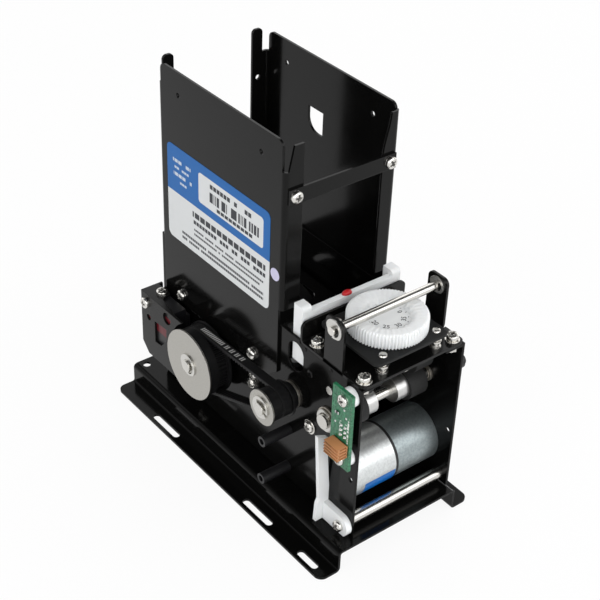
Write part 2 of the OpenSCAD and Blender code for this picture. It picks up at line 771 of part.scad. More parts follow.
module hopper_side(side, front_w, front_notch, rear_notch, rear_w) {
  front_in = hopper_front_y + sheet;
  rear_in = hopper_rear_y - sheet;
  relief = sheet + bend_r;
  front_edge = hopper_front_y + relief;
  rear_edge = hopper_rear_y - relief;
  front_notch_z = hopper_top_z - front_notch_depth;
  rear_notch_z = hopper_top_z - rear_notch_depth;
  ear_x = [-half_h + rear_notch, -half_h + rear_notch + rear_ear_w];
  far = -half_h - over;
  on_side(side) difference() {
    translate([0, 0, hopper_bottom_z]) linear_extrude(ear_z - hopper_bottom_z)
      polygon(bent([[-half_h + front_w, front_in], [-half_c, front_in], [-half_c, rear_in],
        [-half_h + rear_w, rear_in]]));
    box([far, hopper_front_y - over, hopper_top_z], [0, rear_edge, ear_z + over]);
    box([far, hopper_front_y - over, front_ear_z], [0, front_edge, ear_z + over]);
    box([far, rear_edge, rear_notch_z], [ear_x[0], hopper_rear_y + over, ear_z + over]);
    if (rear_w > rear_notch + rear_ear_w)
      box([ear_x[1], rear_edge - over, rear_notch_z], [0, hopper_rear_y + over, ear_z + over]);
    for (k = [0, 1])
      corner_y(ear_x[k], ear_z, 2 * k - 1, 1, rear_ear_r, rear_edge - over, hopper_rear_y + over);
    slab_y(hopper_front_y - over, front_edge) polygon(front_notch > 0
      ? [[far, front_notch_z], [-half_h + relief, front_notch_z], [-half_h + front_notch, ear_z],
        [far, ear_z]]
      : flange_taper(-half_h + front_w));
    corner_x(front_edge, hopper_top_z, -1, 1, hopper_corner_r, far, -half_c + over);
    corner_x(rear_edge, hopper_top_z, 1, 1, hopper_corner_r, far, -half_c + over);
    box([far, hopper_front_y - over, hopper_bottom_z - over], [0, front_edge, front_flange_z]);
    box([far, rear_edge, hopper_bottom_z - over], [0, hopper_rear_y + over, deck_top + 1]);
    slab_x(far, -half_c + over) polygon([[hopper_front_y, hopper_bottom_z - over],
      [hopper_front_y + hopper_bevel_l, hopper_bottom_z - over],
      [hopper_front_y, hopper_bottom_z + hopper_bevel_h]]);
    for (y = [hopper_hole_rear_y, hopper_hole_front_y])
      rod_x(far, -half_c + over, [y, hopper_top_z - hopper_hole_drop], hopper_hole_r);
    for (y = hopper_screws) rod_x(far, -half_c + over, [y, hopper_screw_z], screw_hole_r);
    translate([-strip_u, hopper_front_y + over + sheet, strip_z]) rotate([90, 0, 0])
      cylinder(h = sheet + 2 * over, r = screw_hole_r);
    translate([-half_h + rear_w - rear_hole_in, hopper_rear_y + over, hopper_top_z - rear_hole_drop])
      rotate([90, 0, 0]) cylinder(h = sheet + 2 * over, r = hopper_hole_r);
    if (side > 0) view_window();
  }
}

module view_window() {
  z1 = hopper_top_z - view_drop;
  r = view_l - 3.6;
  difference() {
    box([-half_h - over, view_y, z1 - view_h], [-half_c + over, view_y + view_l, z1]);
    corner_x(view_y + view_l, z1 - view_h, 1, -1, r, -half_h - 2 * over, -half_c + 2 * over);
  }
}

module hopper_left_plate() {
  hopper_side(-1, front_flange_w, front_notch_w, sheet + bend_r, rear_flange_w);
}

module hopper_right_plate() {
  hopper_side(1, front_flange_right_w, 0, rear_notch_w, rear_notch_w + rear_ear_w);
}

module hopper_front_strip() {
  difference() {
    box([chassis_x - strip_u - strip_end, hopper_front_y - sheet, strip_z - strip_h / 2],
      [chassis_x + strip_u + strip_end, hopper_front_y, strip_z + strip_h / 2]);
    for (u = [-strip_u, strip_u])
      translate([chassis_x + u, hopper_front_y + over, strip_z]) rotate([90, 0, 0])
        cylinder(h = sheet + 2 * over, r = screw_hole_r);
  }
}

module hopper_floor() {
  edge = floor_z - sheet;
  skirt = hopper_screw_z - floor_skirt;
  difference() {
    translate([chassis_x, 0, 0]) slab_y(hopper_front_y + 4.4, hopper_rear_y - 3)
      polygon(bent([[-half_in + sheet, skirt], [-half_in + sheet, edge], [half_in - sheet, edge],
        [half_in - sheet, skirt]]));
    for (u = [-wheel_u, wheel_u])
      slot_z(chassis_x + u, pick_y, 20, wheel_w + 2, edge - over, floor_z + over);
    for (y = hopper_screws)
      rod_x(left_in - over, right_in + over, [y, hopper_screw_z], screw_hole_r);
  }
}

module gate_plate() {
  z0 = card_z + gate_gap;
  y1 = hopper_front_y + 2 * sheet;
  y0 = y1 - sheet - gate_tab;
  translate([0, 0, z0]) linear_extrude(deck_top - 0.4 - z0)
    polygon(bent([[right_in, y0], [right_in, y1], [left_in, y1], [left_in, y0]]));
}

module cross_rod(p) {
  difference() {
    rod_x(left_in, right_in, p, rod_r);
    rod_x(left_in - over, left_in + 9, p, screw_r + fit_gap);
    rod_x(right_in - 9, right_in + over, p, screw_r + fit_gap);
  }
}

module front_cross_rod() {
  cross_rod([front_rod_y, front_rod_z]);
}

module cross_rods() {
  cross_rod([mid_rod_y, mid_rod_z]);
  cross_rod([rear_rod_y, rear_rod_z]);
}

module guard_rod() {
  rod_x(left_x - 2.2, right_x + 2.2, [dial_y, guard_z], guard_r);
}

module guard_rod_clips() {
  p = [dial_y, guard_z];
  clip(left_x - clip_t, p, guard_r, guard_clip_r);
  clip(right_in - clip_t, p, guard_r, guard_clip_r - 0.6);
  clip(right_x, p, guard_r, guard_clip_r - 0.6);
}

module dial_plate() {
  half = dial_plate_w / 2;
  x_ends = [chassis_x - half - dial_plate_left, chassis_x + half];
  y_ends = [dial_y - half - dial_plate_front, dial_y + half];
  z1 = dial_plate_z + sheet;
  difference() {
    box([x_ends[0], y_ends[0], dial_plate_z], [x_ends[1], y_ends[1], z1]);
    for (sx = [-1, 1]) for (sy = [-1, 1]) {
      corner_z(x_ends[(sx + 1) / 2], y_ends[(sy + 1) / 2], sx, sy, 3, dial_plate_z - over, z1 + over);
      rod_z(chassis_x + sx * rivet_u, dial_y + sy * rivet_u, dial_plate_z - over, z1 + over,
        1.2 + fit_gap);
    }
    rod_z(chassis_x, dial_y, dial_plate_z - over, z1 + over, spindle_r + run_gap);
  }
}

module dial_spacers() {
  for (sx = [-1, 1]) for (sy = [-1, 1]) difference() {
    rod_z(chassis_x + sx * rivet_u, dial_y + sy * rivet_u, deck_top, dial_plate_z, 2.7);
    rod_z(chassis_x + sx * rivet_u, dial_y + sy * rivet_u, deck_top - over, dial_plate_z + over,
      1.2 + fit_gap);
  }
}

module dial_rivets() {
  for (sx = [-1, 1]) for (sy = [-1, 1])
    translate([chassis_x + sx * rivet_u, dial_y + sy * rivet_u, dial_plate_z + sheet])
      rotate_extrude() polygon([[0, -6], [1.2, -6], [1.2, 0], [2, 0], [1.7, 0.6], [0.9, 0.9], [0, 0.9]]);
}

module motor_can() {
  x1 = right_in - gearbox_l;
  difference() {
    union() {
      rod_x(x1 - can_l, x1, [motor_y, motor_z], motor_r);
      rod_x(x1 - can_l - 1.6, x1, [motor_y, motor_z], 4.5);
    }
    for (z = [-6.5, 6.5]) rod_x(x1 - can_l - over, x1 - can_l + 1.5, [motor_y, motor_z + z], 1.3);
  }
}

module motor_gearbox() {
  difference() {
    union() {
      rod_x(right_in - gearbox_l, right_in, [motor_y, motor_z], motor_r);
      rod_x(right_in - over, right_x + 0.6, pinion_p, boss_r);
    }
    rod_x(right_in - 8, right_x + 1, pinion_p, motor_shaft_r + run_gap);
    for (d = motor_screws)
      rod_x(right_in - 7, right_in + over, [motor_y + d, motor_z - 2], screw_r + fit_gap);
  }
}

module sensor_board() {
  y0 = chassis_front_y + 0.4;
  difference() {
    box([board_x, y0, board_z0], [board_x + board_t, y0 + board_w, board_z1]);
    for (z = board_screws)
      rod_x(board_x - over, board_x + board_t + over, [board_screw_y, z], screw_hole_r);
  }
}

module board_spacers() {
  for (z = board_screws)
    tube_x(left_x - board_spacer_l, left_x, [board_screw_y, z], board_spacer_r, screw_hole_r);
}

module board_connector() {
  y0 = chassis_front_y + 1.2;
  z0 = board_z0 + 7.8;
  pitch = connector_h / 4.6;
  difference() {
    box([board_x - connector_d, y0, z0], [board_x, y0 + connector_l, z0 + connector_h]);
    for (i = [0:3])
      box([board_x - connector_d + 0.9, y0 - over, z0 + pitch * (i + 0.55)],
        [board_x - 0.9, y0 + connector_l / 2, z0 + pitch * (i + 1.05)]);
  }
}

module cable_guide() {
  p = [front_rod_y, front_rod_z];
  x0 = left_x - guide_t;
  z0 = base_h + air_gap;
  difference() {
    union() {
      rod_x(x0, left_x, p, guide_lobe_r);
      box([x0, p[0], z0], [left_x, guide_fin_y + over, p[1] + guide_lobe_r]);
      slab_y(guide_fin_y, guide_fin_y + guide_fin_t) polygon([[left_x, z0], [left_x - 7, z0],
        [left_x - 6.4, z0 + 9.9], [left_x - 5.4, z0 + 12.5], [left_x - 7.9, guide_top_z],
        [left_x - 2.2, guide_top_z - 2.6], [left_x - 1.7, guide_top_z - 13], [left_x, z0 + 18]]);
    }
    box([x0 - over, p[0] - 6, base_h - 3], [left_x + over, guide_fin_y - over, z0]);
    rod_x(x0 - over, left_x + over, p, screw_hole_r);
  }
}

module side_posts() {
  for (z = posts_z) difference() {
    rod_x(left_x - post_l, left_x, [post_y, z], post_r);
    rod_x(left_x - post_l - over, left_x - post_l + 8, [post_y, z], screw_r);
  }
}

module rear_bracket() {
  x1 = bracket_x + sheet;
  y0 = pick_y + 8.6;
  y1 = bracket_rear_y;
  z0 = bracket_bottom_z;
  z1 = bracket_top_z;
  difference() {
    union() {
      slab_x(bracket_x, x1) polygon([[y0, z1], [y0, z0], [y1 - 5.2, z0], [y1, z0 + 5.2], [y1, z1]]);
      translate([0, 0, z1 - sheet]) linear_extrude(sheet) polygon([[bracket_x, y0 + 2],
        [bracket_x + 4, y1 - 13], [left_x - 3.8, y1 - 11], [left_x - 3.8, y1], [bracket_x, y1]]);
      box([bracket_x, y1 - sheet, z0 + 5.2], [left_x, y1, z1]);
    }
    rod_x(bracket_x - over, left_x, [pick_y, pick_z], bracket_relief_r);
    box([left_x - sheet - air_gap, hopper_rear_y, hopper_bottom_z - 1], [left_x + over, y1 + 1, z1 + 1]);
    rod_x(bracket_x - over, x1 + over, bracket_screw, screw_hole_r);
    rod_x(bracket_x - over, x1 + over, [y1 - 6.2, z1 - 12.9], 1.7);
    rod_x(bracket_x - over, x1 + over, [y1 - 22.2, z1 - 4.6], 3.2);
    slab_x(bracket_x - over, x1 + over) translate([y1 - 21.6, z1 - 11.5])
      polygon([[0, 0], [10.2, -0.8], [10.2, -13], [4.8, -12.4], [0.4, -7]]);
    rod_z(bracket_x + 6.6, y1 - 8.4, z1 - 2 * sheet, z1 + over, screw_hole_r);
  }
}

module rear_sensor() {
  x0 = bracket_x + sheet;
  difference() {
    box([x0, sensor_front_y, sensor_z0], [x0 + sensor_d + sensor_back, bracket_rear_y - sheet, sensor_z1]);
    rod_x(x0 - over, x0 + 7, bracket_screw, screw_r + fit_gap);
    rod_z(bracket_x + 6.6, bracket_rear_y - 8.4, sensor_z1 - 7, sensor_z1 + over, screw_r + fit_gap);
  }
}

module rear_board() {
  x0 = bracket_x + sheet + sensor_d + sensor_back;
  box([x0, sensor_front_y - 1, sensor_z0 - 2],
    [x0 + board_t, bracket_rear_y - sheet - 0.4, sensor_z1 - rear_board_drop]);
}

module shaft_bushes() {
  for (p = [[[pick_y, pick_z], drive_shaft_r], [feed_p, drive_shaft_r], [exit_p, exit_shaft_r]]) {
    bush(left_x, -1, p[0], p[1]);
    bush(right_x, 1, p[0], p[1]);
  }
}

module idler_stud() {
  rod_x(right_in - 1, gear_x1 + air_gap, idler_p, motor_shaft_r);
  rod_x(right_in - 1, right_in, idler_p, motor_shaft_r + 0.5);
  rod_x(gear_x1 + air_gap, gear_x1 + air_gap + 0.8, idler_p, motor_shaft_r + 1.4);
}

module right_cap() {
  p = [chassis_front_y + 4.4, 81];
  rod_x(right_x, right_x + 2.6, p, 3.6);
  rod_x(right_x + 2.6, right_x + 4, p, 2.6);
}

module hopper_label() {
  x1 = chassis_x - half_h;
  y0 = hopper_front_y + label_front;
  z1 = hopper_top_z - label_drop;
  box([x1 - 0.15, y0, z1 - label_h], [x1, y0 + label_l, z1]);
}

module belt_solid(x0, x1, r_big, r_small) {
  big = [pick_y, pick_z];
  way = toward(big, feed_p);
  open = acos((r_big - r_small) / norm(feed_p - big));
  rod_x(x0, x1, big, r_big);
  rod_x(x0, x1, feed_p, r_small);
  slab_x(x0, x1) polygon([
    big + r_big * [cos(way + open), sin(way + open)],
    feed_p + r_small * [cos(way + open), sin(way + open)],
    feed_p + r_small * [cos(way - open), sin(way - open)],
    big + r_big * [cos(way - open), sin(way - open)]]);
}

module timing_belt() {
  inner = air_gap;
  outer = air_gap + belt_t;
  difference() {
    belt_solid(belt_x0, belt_x1, big_r + outer, small_r + outer);
    belt_solid(belt_x0 - over, belt_x1 + over, big_r + inner, small_r + inner);
  }
}

module pan_head_screws() {
  screw_left(left_x - guide_t, front_rod_y, front_rod_z, 9);
  screw_right(right_x, front_rod_y, front_rod_z, 7);
  for (p = [[mid_rod_y, mid_rod_z], [rear_rod_y, rear_rod_z]]) {
    screw_left(left_x, p[0], p[1], 7);
    screw_right(right_x, p[0], p[1], 7);
  }
  for (y = hopper_screws) {
    screw_left(left_x - sheet, y, hopper_screw_z, 5);
    screw_right(right_x + sheet, y, hopper_screw_z, 5);
  }
  for (z = board_screws) screw_left(board_x, board_screw_y, z, 7);
  for (p = plate_screws) screw_left(left_x, p[0], p[1], 4);
  for (d = motor_screws) screw_right(right_x, motor_y + d, motor_z - 2, 7);
  screw_left(bracket_x, bracket_screw[0], bracket_screw[1], 7);
  translate([bracket_x + 6.6, bracket_rear_y - 8.4, bracket_top_z]) screw(7);
  for (u = [-strip_u, strip_u])
    translate([chassis_x + u, hopper_front_y - sheet, strip_z]) rotate([90, 0, 0]) screw(3);
  for (p = deck_screws) translate([p[0], p[1], deck_top + washer_h]) screw(7.4);
}

module deck_washers() {
  for (p = deck_screws) translate([p[0], p[1], deck_top]) difference() {
    union() {
      cylinder(h = washer_h * 0.4, r = screw_head_r + 0.6);
      cylinder(h = washer_h, r = screw_head_r - 0.1);
    }
    translate([0, 0, -over]) cylinder(h = washer_h + 2 * over, r = screw_r + fit_gap);
  }
}

module deck_nuts() {
  for (p = deck_screws) translate([p[0], p[1], deck_z - sheet - 2.4]) difference() {
    rotate([0, 0, 30]) cylinder(h = 2.4, r = 3.17, $fn = 6);
    translate([0, 0, -over]) cylinder(h = 4, r = screw_r + fit_gap);
  }
}

module exit_shaft() {
  x0 = left_x - bush_flange_t - 2.6;
  rod_x(x0, gear_x1 + 1.6, exit_p, exit_shaft_r);
  rod_x(x0, exit_clip_x - run_gap, exit_p, exit_head_r);
  rod_x(chassis_x + hub_u + hub_l + exit_roller_l + air_gap, right_in - 1 - air_gap, exit_p,
    exit_collar_r);
}

module exit_hubs() {
  for (side = [-1, 1]) on_side(side)
    tube_x(-hub_u - hub_l, -hub_u, exit_p, exit_hub_r, exit_shaft_r + fit_gap);
}

module exit_rollers() {
  outer = hub_u + hub_l + exit_roller_l;
  for (side = [-1, 1]) on_side(side)
    tube_x(-outer, -hub_u - hub_l, exit_p, exit_r, exit_shaft_r + fit_gap);
}

module exit_gear() {
  gear(gear_x0, gear_x1, exit_p, exit_teeth, exit_phase, exit_shaft_r + fit_gap);
}

module exit_clips() {
  clip(exit_clip_x, exit_p, exit_shaft_r, exit_clip_r);
  clip(gear_x1, exit_p, exit_shaft_r);
}

module feed_shaft() {
  rod_x(pulley_x0 - 1.8, gear_x1 + 1.6, feed_p, drive_shaft_r);
}

module feed_rollers() {
  for (u = [-wheel_u, wheel_u])
    tube_x(chassis_x + u - wheel_w / 2, chassis_x + u + wheel_w / 2, feed_p, feed_r,
      drive_shaft_r + fit_gap);
}

module feed_gear() {
  gear(gear_x0, gear_x1, feed_p, feed_teeth, feed_phase, drive_shaft_r + fit_gap);
}

module small_pulley() {
  pulley(feed_p, small_teeth, small_r, small_r + 0.4);
}

module feed_clips() {
  clip(pulley_x0 - clip_t, feed_p, drive_shaft_r);
  clip(gear_x1, feed_p, drive_shaft_r);
}

module pick_shaft() {
  rod_x(pulley_x0 - 1.8, right_x + bush_flange_t + air_gap + clip_t + 1.2, [pick_y, pick_z],
    drive_shaft_r);
}

module pick_wheels() {
  for (u = [-wheel_u, wheel_u])
    tube_x(chassis_x + u - wheel_w / 2, chassis_x + u + wheel_w / 2, [pick_y, pick_z],
      pick_r - tyre_t, drive_shaft_r + fit_gap);
}

module pick_tyres() {
  for (u = [-wheel_u, wheel_u])
    tube_x(chassis_x + u - wheel_w / 2, chassis_x + u + wheel_w / 2, [pick_y, pick_z], pick_r,
      pick_r - tyre_t + fit_gap);
}

module big_pulley() {
  pulley([pick_y, pick_z], big_teeth, big_r, 8);
}

module pick_clips() {
  clip(pulley_x0 - clip_t, [pick_y, pick_z], drive_shaft_r);
  clip(right_x + bush_flange_t + air_gap, [pick_y, pick_z], drive_shaft_r);
}

module idler_gear() {
  gear(gear_x0, gear_x1, idler_p, idler_teeth, idler_phase, motor_shaft_r + run_gap);
}

module motor_pinion() {
  gear(gear_x0, gear_x1, pinion_p, pinion_teeth, pinion_phase, 1);
  rod_x(right_in - motor_shaft_in, gear_x1, pinion_p, motor_shaft_r);
}

module thumb_dial() {
  shoulder = dial_z1 - 0.7;
  difference() {
    union() {
      translate([chassis_x, dial_y, dial_z0]) linear_extrude(shoulder - dial_z0)
        polygon(toothed(dial_teeth, dial_r - 0.8, dial_r, 0, 0.34, 0.2));
      translate([chassis_x, dial_y, 0]) rotate_extrude() polygon([[0, dial_z0 + 0.2],
        [dial_r - 0.9, dial_z0 + 0.2], [dial_r - 0.9, shoulder], [dial_r - 1.6, dial_z1], [0, dial_z1]]);
    }
    translate([chassis_x, dial_y, 0]) rotate_extrude() polygon([[0, recess_z],
      [dial_recess_r - 0.8, recess_z], [dial_recess_r, dial_z1 - dial_dish], [dial_r - 2.4, dial_z1],
      [dial_r - 2.4, dial_z1 + over], [0, dial_z1 + over]]);
    rod_z(chassis_x, dial_y, dial_z0 - over, spindle_top + fit_gap, spindle_r + fit_gap);
  }
}

module dial_spindle() {
  collar_z = dial_plate_z - air_gap;
  rod_z(chassis_x, dial_y, yoke_top - spindle_reach, spindle_top, spindle_r);
  rod_z(chassis_x, dial_y, collar_z - 0.8, collar_z, spindle_r * 2);
}

module pinch_yoke() {
  z0 = pinch_z - pinch_shaft_r - 2.4;
  y0 = pinch_y - 5;
  y1 = pinch_y + 5;
  difference() {
    union() {
      box([chassis_x - yoke_u, y0, yoke_top - yoke_t], [chassis_x + yoke_u, y1, yoke_top]);
      for (u = [-yoke_u, yoke_u - yoke_t])
        box([chassis_x + u, y0, z0], [chassis_x + u + yoke_t, y1, yoke_top]);
    }
    rod_z(chassis_x, dial_y, yoke_top - 3 * yoke_t, yoke_top + over, spindle_r + run_gap);
    rod_x(chassis_x - yoke_u - over, chassis_x + yoke_u + over, [pinch_y, pinch_z],
      pinch_shaft_r + fit_gap);
  }
}

module pinch_shaft() {
  rod_x(left_x - 1.2, right_x + 1.2, [pinch_y, pinch_z], pinch_shaft_r);
}

module pinch_rollers() {
  outer = hub_u + hub_l + exit_roller_l;
  for (side = [-1, 1]) on_side(side)
    tube_x(-outer, -hub_u - hub_l, [pinch_y, pinch_z], pinch_r, pinch_shaft_r + run_gap);
}

module pressure_lever() {
  y0 = lever_y - lever_d / 2;
  y1 = lever_y + lever_d / 2;
  block_z = deck_top + 1.2;
  for (side = [-1, 1]) on_side(side) {
    slab_x(-lever_out, -lever_out + lever_leg_t) polygon([[y1, lever_low_z], [y1, block_z + over],
      [y0, block_z + over], [y0, lever_low_z + 8.6], lever_p + [3, 5], lever_p + [0, 3],
      lever_p - [0, 3], [lever_pivot_y + 5, lever_low_z]]);
    rod_x(-lever_out, -lever_out + lever_leg_t, lever_p, 3);
    rod_x(-half_c, -lever_out + over, lever_p, lever_pin_r);
    difference() {
      box([-lever_out, y0, block_z], [-lever_out + lever_block_w, y1, lever_top_z]);
      corner_x(y0, lever_top_z, -1, 1, 2, -half_c, 0);
    }
  }
  box([chassis_x - lever_out + 2, y0, bar_top - lever_bar_h],
    [chassis_x + lever_out - 2, y0 + lever_bar_d, bar_top]);
}

module lever_mark() {
  y0 = lever_y - lever_d / 2;
  box([chassis_x - 4.3, y0 + 0.3, bar_top], [chassis_x - 0.1, y0 + lever_bar_d - 0.3, bar_top + 0.8]);
}

color("#1c1d1f") base_plate();
color("#1c1d1f") left_chassis_plate();
color("#1c1d1f") right_chassis_plate();
color("#1c1d1f") front_deck();
color("#1c1d1f") hopper_left_plate();
color("#1c1d1f") hopper_right_plate();
color("#1c1d1f") hopper_front_strip();
color("#1c1d1f") hopper_floor();
color("#1c1d1f") gate_plate();
color("#b9bcc0") front_cross_rod();
color("#b9bcc0") cross_rods();
color("#c8cacd") guard_rod();
color("#8e9196") guard_rod_clips();
color("#1c1d1f") dial_plate();
color("#b9bcc0") dial_spacers();
color("#c8cacd") dial_rivets();
color("#a9abad") motor_can();
color("#8b8d8e") motor_gearbox();
color("#1f6b3a") sensor_board();
color("#e6e4de") board_spacers();
color("#c98f4e") board_connector();
color("#e4e3df") cable_guide();
color("#232427") side_posts();
color("#2a2b2d") rear_bracket();
color("#b3262a") rear_sensor();
color("#1f6b3a") rear_board();
color("#b08d57") shaft_bushes();
color("#b9bcc0") idler_stud();
color("#232427") right_cap();
color("#4c86c6") hopper_label();
color("#17181a") timing_belt();
color("#c8cacd") pan_head_screws();
color("#b9bcc0") deck_washers();
color("#b9bcc0") deck_nuts();
color("#b9bcc0") exit_shaft();
color("#c2c4c6") exit_hubs();
color("#232427") exit_rollers();
color("#e4e3df") exit_gear();
color("#8e9196") exit_clips();
color("#b9bcc0") feed_shaft();
color("#232427") feed_rollers();
color("#e4e3df") feed_gear();
color("#b4b6b8") small_pulley();
color("#8e9196") feed_clips();
color("#b9bcc0") pick_shaft();
color("#e4e3df") pick_wheels();
color("#232427") pick_tyres();
color("#b4b6b8") big_pulley();
color("#8e9196") pick_clips();
color("#e4e3df") idler_gear();
color("#b9bcc0") motor_pinion();
color("#ecebe6") thumb_dial();
color("#b9bcc0") dial_spindle();
color("#8e9196") pinch_yoke();
color("#b9bcc0") pinch_shaft();
color("#232427") pinch_rollers();
color("#ecebe6") pressure_lever();
color("#c0272d") lever_mark();
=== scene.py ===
import json
import math

import bmesh
import bpy
import numpy as np
from mathutils import Matrix, Vector


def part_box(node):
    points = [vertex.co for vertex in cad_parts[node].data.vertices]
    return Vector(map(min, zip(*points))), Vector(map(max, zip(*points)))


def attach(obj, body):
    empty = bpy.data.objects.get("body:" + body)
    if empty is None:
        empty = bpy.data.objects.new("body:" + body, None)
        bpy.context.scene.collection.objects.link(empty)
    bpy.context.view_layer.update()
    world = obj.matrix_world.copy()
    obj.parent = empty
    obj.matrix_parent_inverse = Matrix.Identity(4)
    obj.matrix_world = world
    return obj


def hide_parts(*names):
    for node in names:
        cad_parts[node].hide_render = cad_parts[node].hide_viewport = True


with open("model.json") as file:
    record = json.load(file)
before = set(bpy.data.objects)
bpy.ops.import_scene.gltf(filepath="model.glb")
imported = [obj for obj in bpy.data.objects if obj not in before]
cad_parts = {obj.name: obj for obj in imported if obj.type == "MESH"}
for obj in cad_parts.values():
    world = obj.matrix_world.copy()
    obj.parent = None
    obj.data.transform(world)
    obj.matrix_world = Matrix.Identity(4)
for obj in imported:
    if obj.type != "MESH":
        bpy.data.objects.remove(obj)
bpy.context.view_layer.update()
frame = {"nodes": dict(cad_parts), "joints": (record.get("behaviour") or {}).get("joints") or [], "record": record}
nodes = frame["nodes"]
mm = 0.001
print("frame loaded:", len(nodes), "nodes")


# shader maths

class Val:
    # a socket whose arithmetic adds Math nodes to its tree
    def __init__(self, tree, socket):
        self.tree = tree
        self.socket = socket

    def math(self, operation, other=None):
        return self.node("ShaderNodeMath", {"operation": operation}, {0: self, 1: other})

    def node(self, kind, settings=None, inputs=None, out=0):
        return addNode(self.tree, kind, settings, inputs, out)

    def __add__(self, other):
        return self.math("ADD", other)

    def __radd__(self, other):
        return self.math("ADD", other)

    def __sub__(self, other):
        return self.math("SUBTRACT", other)

    def __rsub__(self, other):
        return self.node("ShaderNodeMath", {"operation": "SUBTRACT"}, {0: other, 1: self})

    def __mul__(self, other):
        return self.math("MULTIPLY", other)

    def __rmul__(self, other):
        return self.math("MULTIPLY", other)

    def __truediv__(self, other):
        return self.math("DIVIDE", other)

    def __rtruediv__(self, other):
        return self.node("ShaderNodeMath", {"operation": "DIVIDE"}, {0: other, 1: self})

    def __gt__(self, other):
        return self.math("GREATER_THAN", other)

    def __lt__(self, other):
        return self.math("LESS_THAN", other)

    def __and__(self, other):
        return self.math("MULTIPLY", other)

    def __or__(self, other):
        return self.math("MAXIMUM", other)

    def __abs__(self):
        return self.math("ABSOLUTE")

    def floor(self):
        return self.math("FLOOR")

    def fract(self):
        return self.math("FRACT")

    def sine(self):
        return self.math("SINE")

    def root(self):
        return self.math("SQRT")

    def between(self, low, high):
        return (self > low) & (self < high)

    def ramp(self, low, high, start=0.0, end=1.0):
        # straight line from start at low to end at high, held outside
        return self.node("ShaderNodeMapRange", {"clamp": True},
                         {"Value": self, "From Min": low, "From Max": high, "To Min": start, "To Max": end})


def addNode(tree, kind, settings=None, inputs=None, out=0):
    made = tree.nodes.new(kind)
    for key, value in (settings or {}).items():
        setattr(made, key, value)
    for key, value in (inputs or {}).items():
        if value is None:
            continue
        if isinstance(value, Val):
            tree.links.new(value.socket, made.inputs[key])
        elif isinstance(value, tuple) and len(value) == 3 and made.inputs[key].type == "RGBA":
            made.inputs[key].default_value = (*value, 1)
        else:
            made.inputs[key].default_value = value
    return Val(tree, made.outputs[out])


class Finish:
    # one material: coordinates in millimetres, textures, and the surface shader
    def __init__(self, name):
        self.material = bpy.data.materials.new(name)
        self.material.use_nodes = True
        self.tree = self.material.node_tree
        self.shader = self.tree.nodes["Principled BSDF"]
        place = self.node("ShaderNodeTexCoord", out="Object")
        self.place = self.node("ShaderNodeVectorMath", {"operation": "SCALE"}, {0: place, "Scale": 1 / mm})
        parts = self.tree.nodes.new("ShaderNodeSeparateXYZ")
        self.tree.links.new(self.place.socket, parts.inputs[0])
        self.x, self.y, self.z = (Val(self.tree, s) for s in parts.outputs)

    def node(self, kind, settings=None, inputs=None, out=0):
        return addNode(self.tree, kind, settings, inputs, out)

    def noise(self, size, stretch=(1, 1, 1), detail=3.0):
        # noise whose blotches are about size millimetres across, longer along a small stretch
        place = self.node("ShaderNodeMapping", None, {"Vector": self.place, "Scale": stretch})
        return self.node("ShaderNodeTexNoise", None, {"Vector": place, "Scale": 1 / size, "Detail": detail})

    def cells(self, first, second):
        # a steady random number for each whole pair
        pair = self.node("ShaderNodeCombineXYZ", None, {0: first, 1: second, 2: 0.5})
        return self.node("ShaderNodeTexWhiteNoise", {"noise_dimensions": "3D"}, {"Vector": pair})

    def radius(self, first, second, centre):
        a = first - centre[0]
        b = second - centre[1]
        return (a * a + b * b).root()

    def mix(self, share, first, second):
        return self.node("ShaderNodeMix", {"data_type": "RGBA"}, {0: share, 6: first, 7: second}, out=2)

    def rounded(self, width):
        # the normal of edges rounded over width millimetres
        return self.node("ShaderNodeBevel", {"samples": 6}, {"Radius": width * mm})

    def edges(self, width):
        # 0 on flat faces, towards 1 where the rounded normal leaves the true one
        rounded = self.rounded(width)
        true = self.node("ShaderNodeNewGeometry", out="True Normal")
        same = self.node("ShaderNodeVectorMath", {"operation": "DOT_PRODUCT"}, {0: rounded, 1: true},
                         out="Value")
        return rounded, (1 - same).ramp(0.01, 0.2)

    def bump(self, height, depth, strength=1.0, normal=None):
        # height of 1 stands depth millimetres proud
        return self.node("ShaderNodeBump", None,
                         {"Height": height, "Distance": depth * mm, "Strength": strength, "Normal": normal})

    def set(self, **values):
        for name, value in values.items():
            key = {"colour": "Base Color", "roughness": "Roughness", "metallic": "Metallic",
                   "normal": "Normal", "specular": "Specular IOR Level", "soft": "Subsurface Weight",
                   "softRadius": "Subsurface Radius", "softScale": "Subsurface Scale"}[name]
            if isinstance(value, Val):
                self.tree.links.new(value.socket, self.shader.inputs[key])
            elif isinstance(value, tuple) and key == "Base Color":
                self.shader.inputs[key].default_value = (*value, 1)
            else:
                self.shader.inputs[key].default_value = value
        return self.material


# mesh making

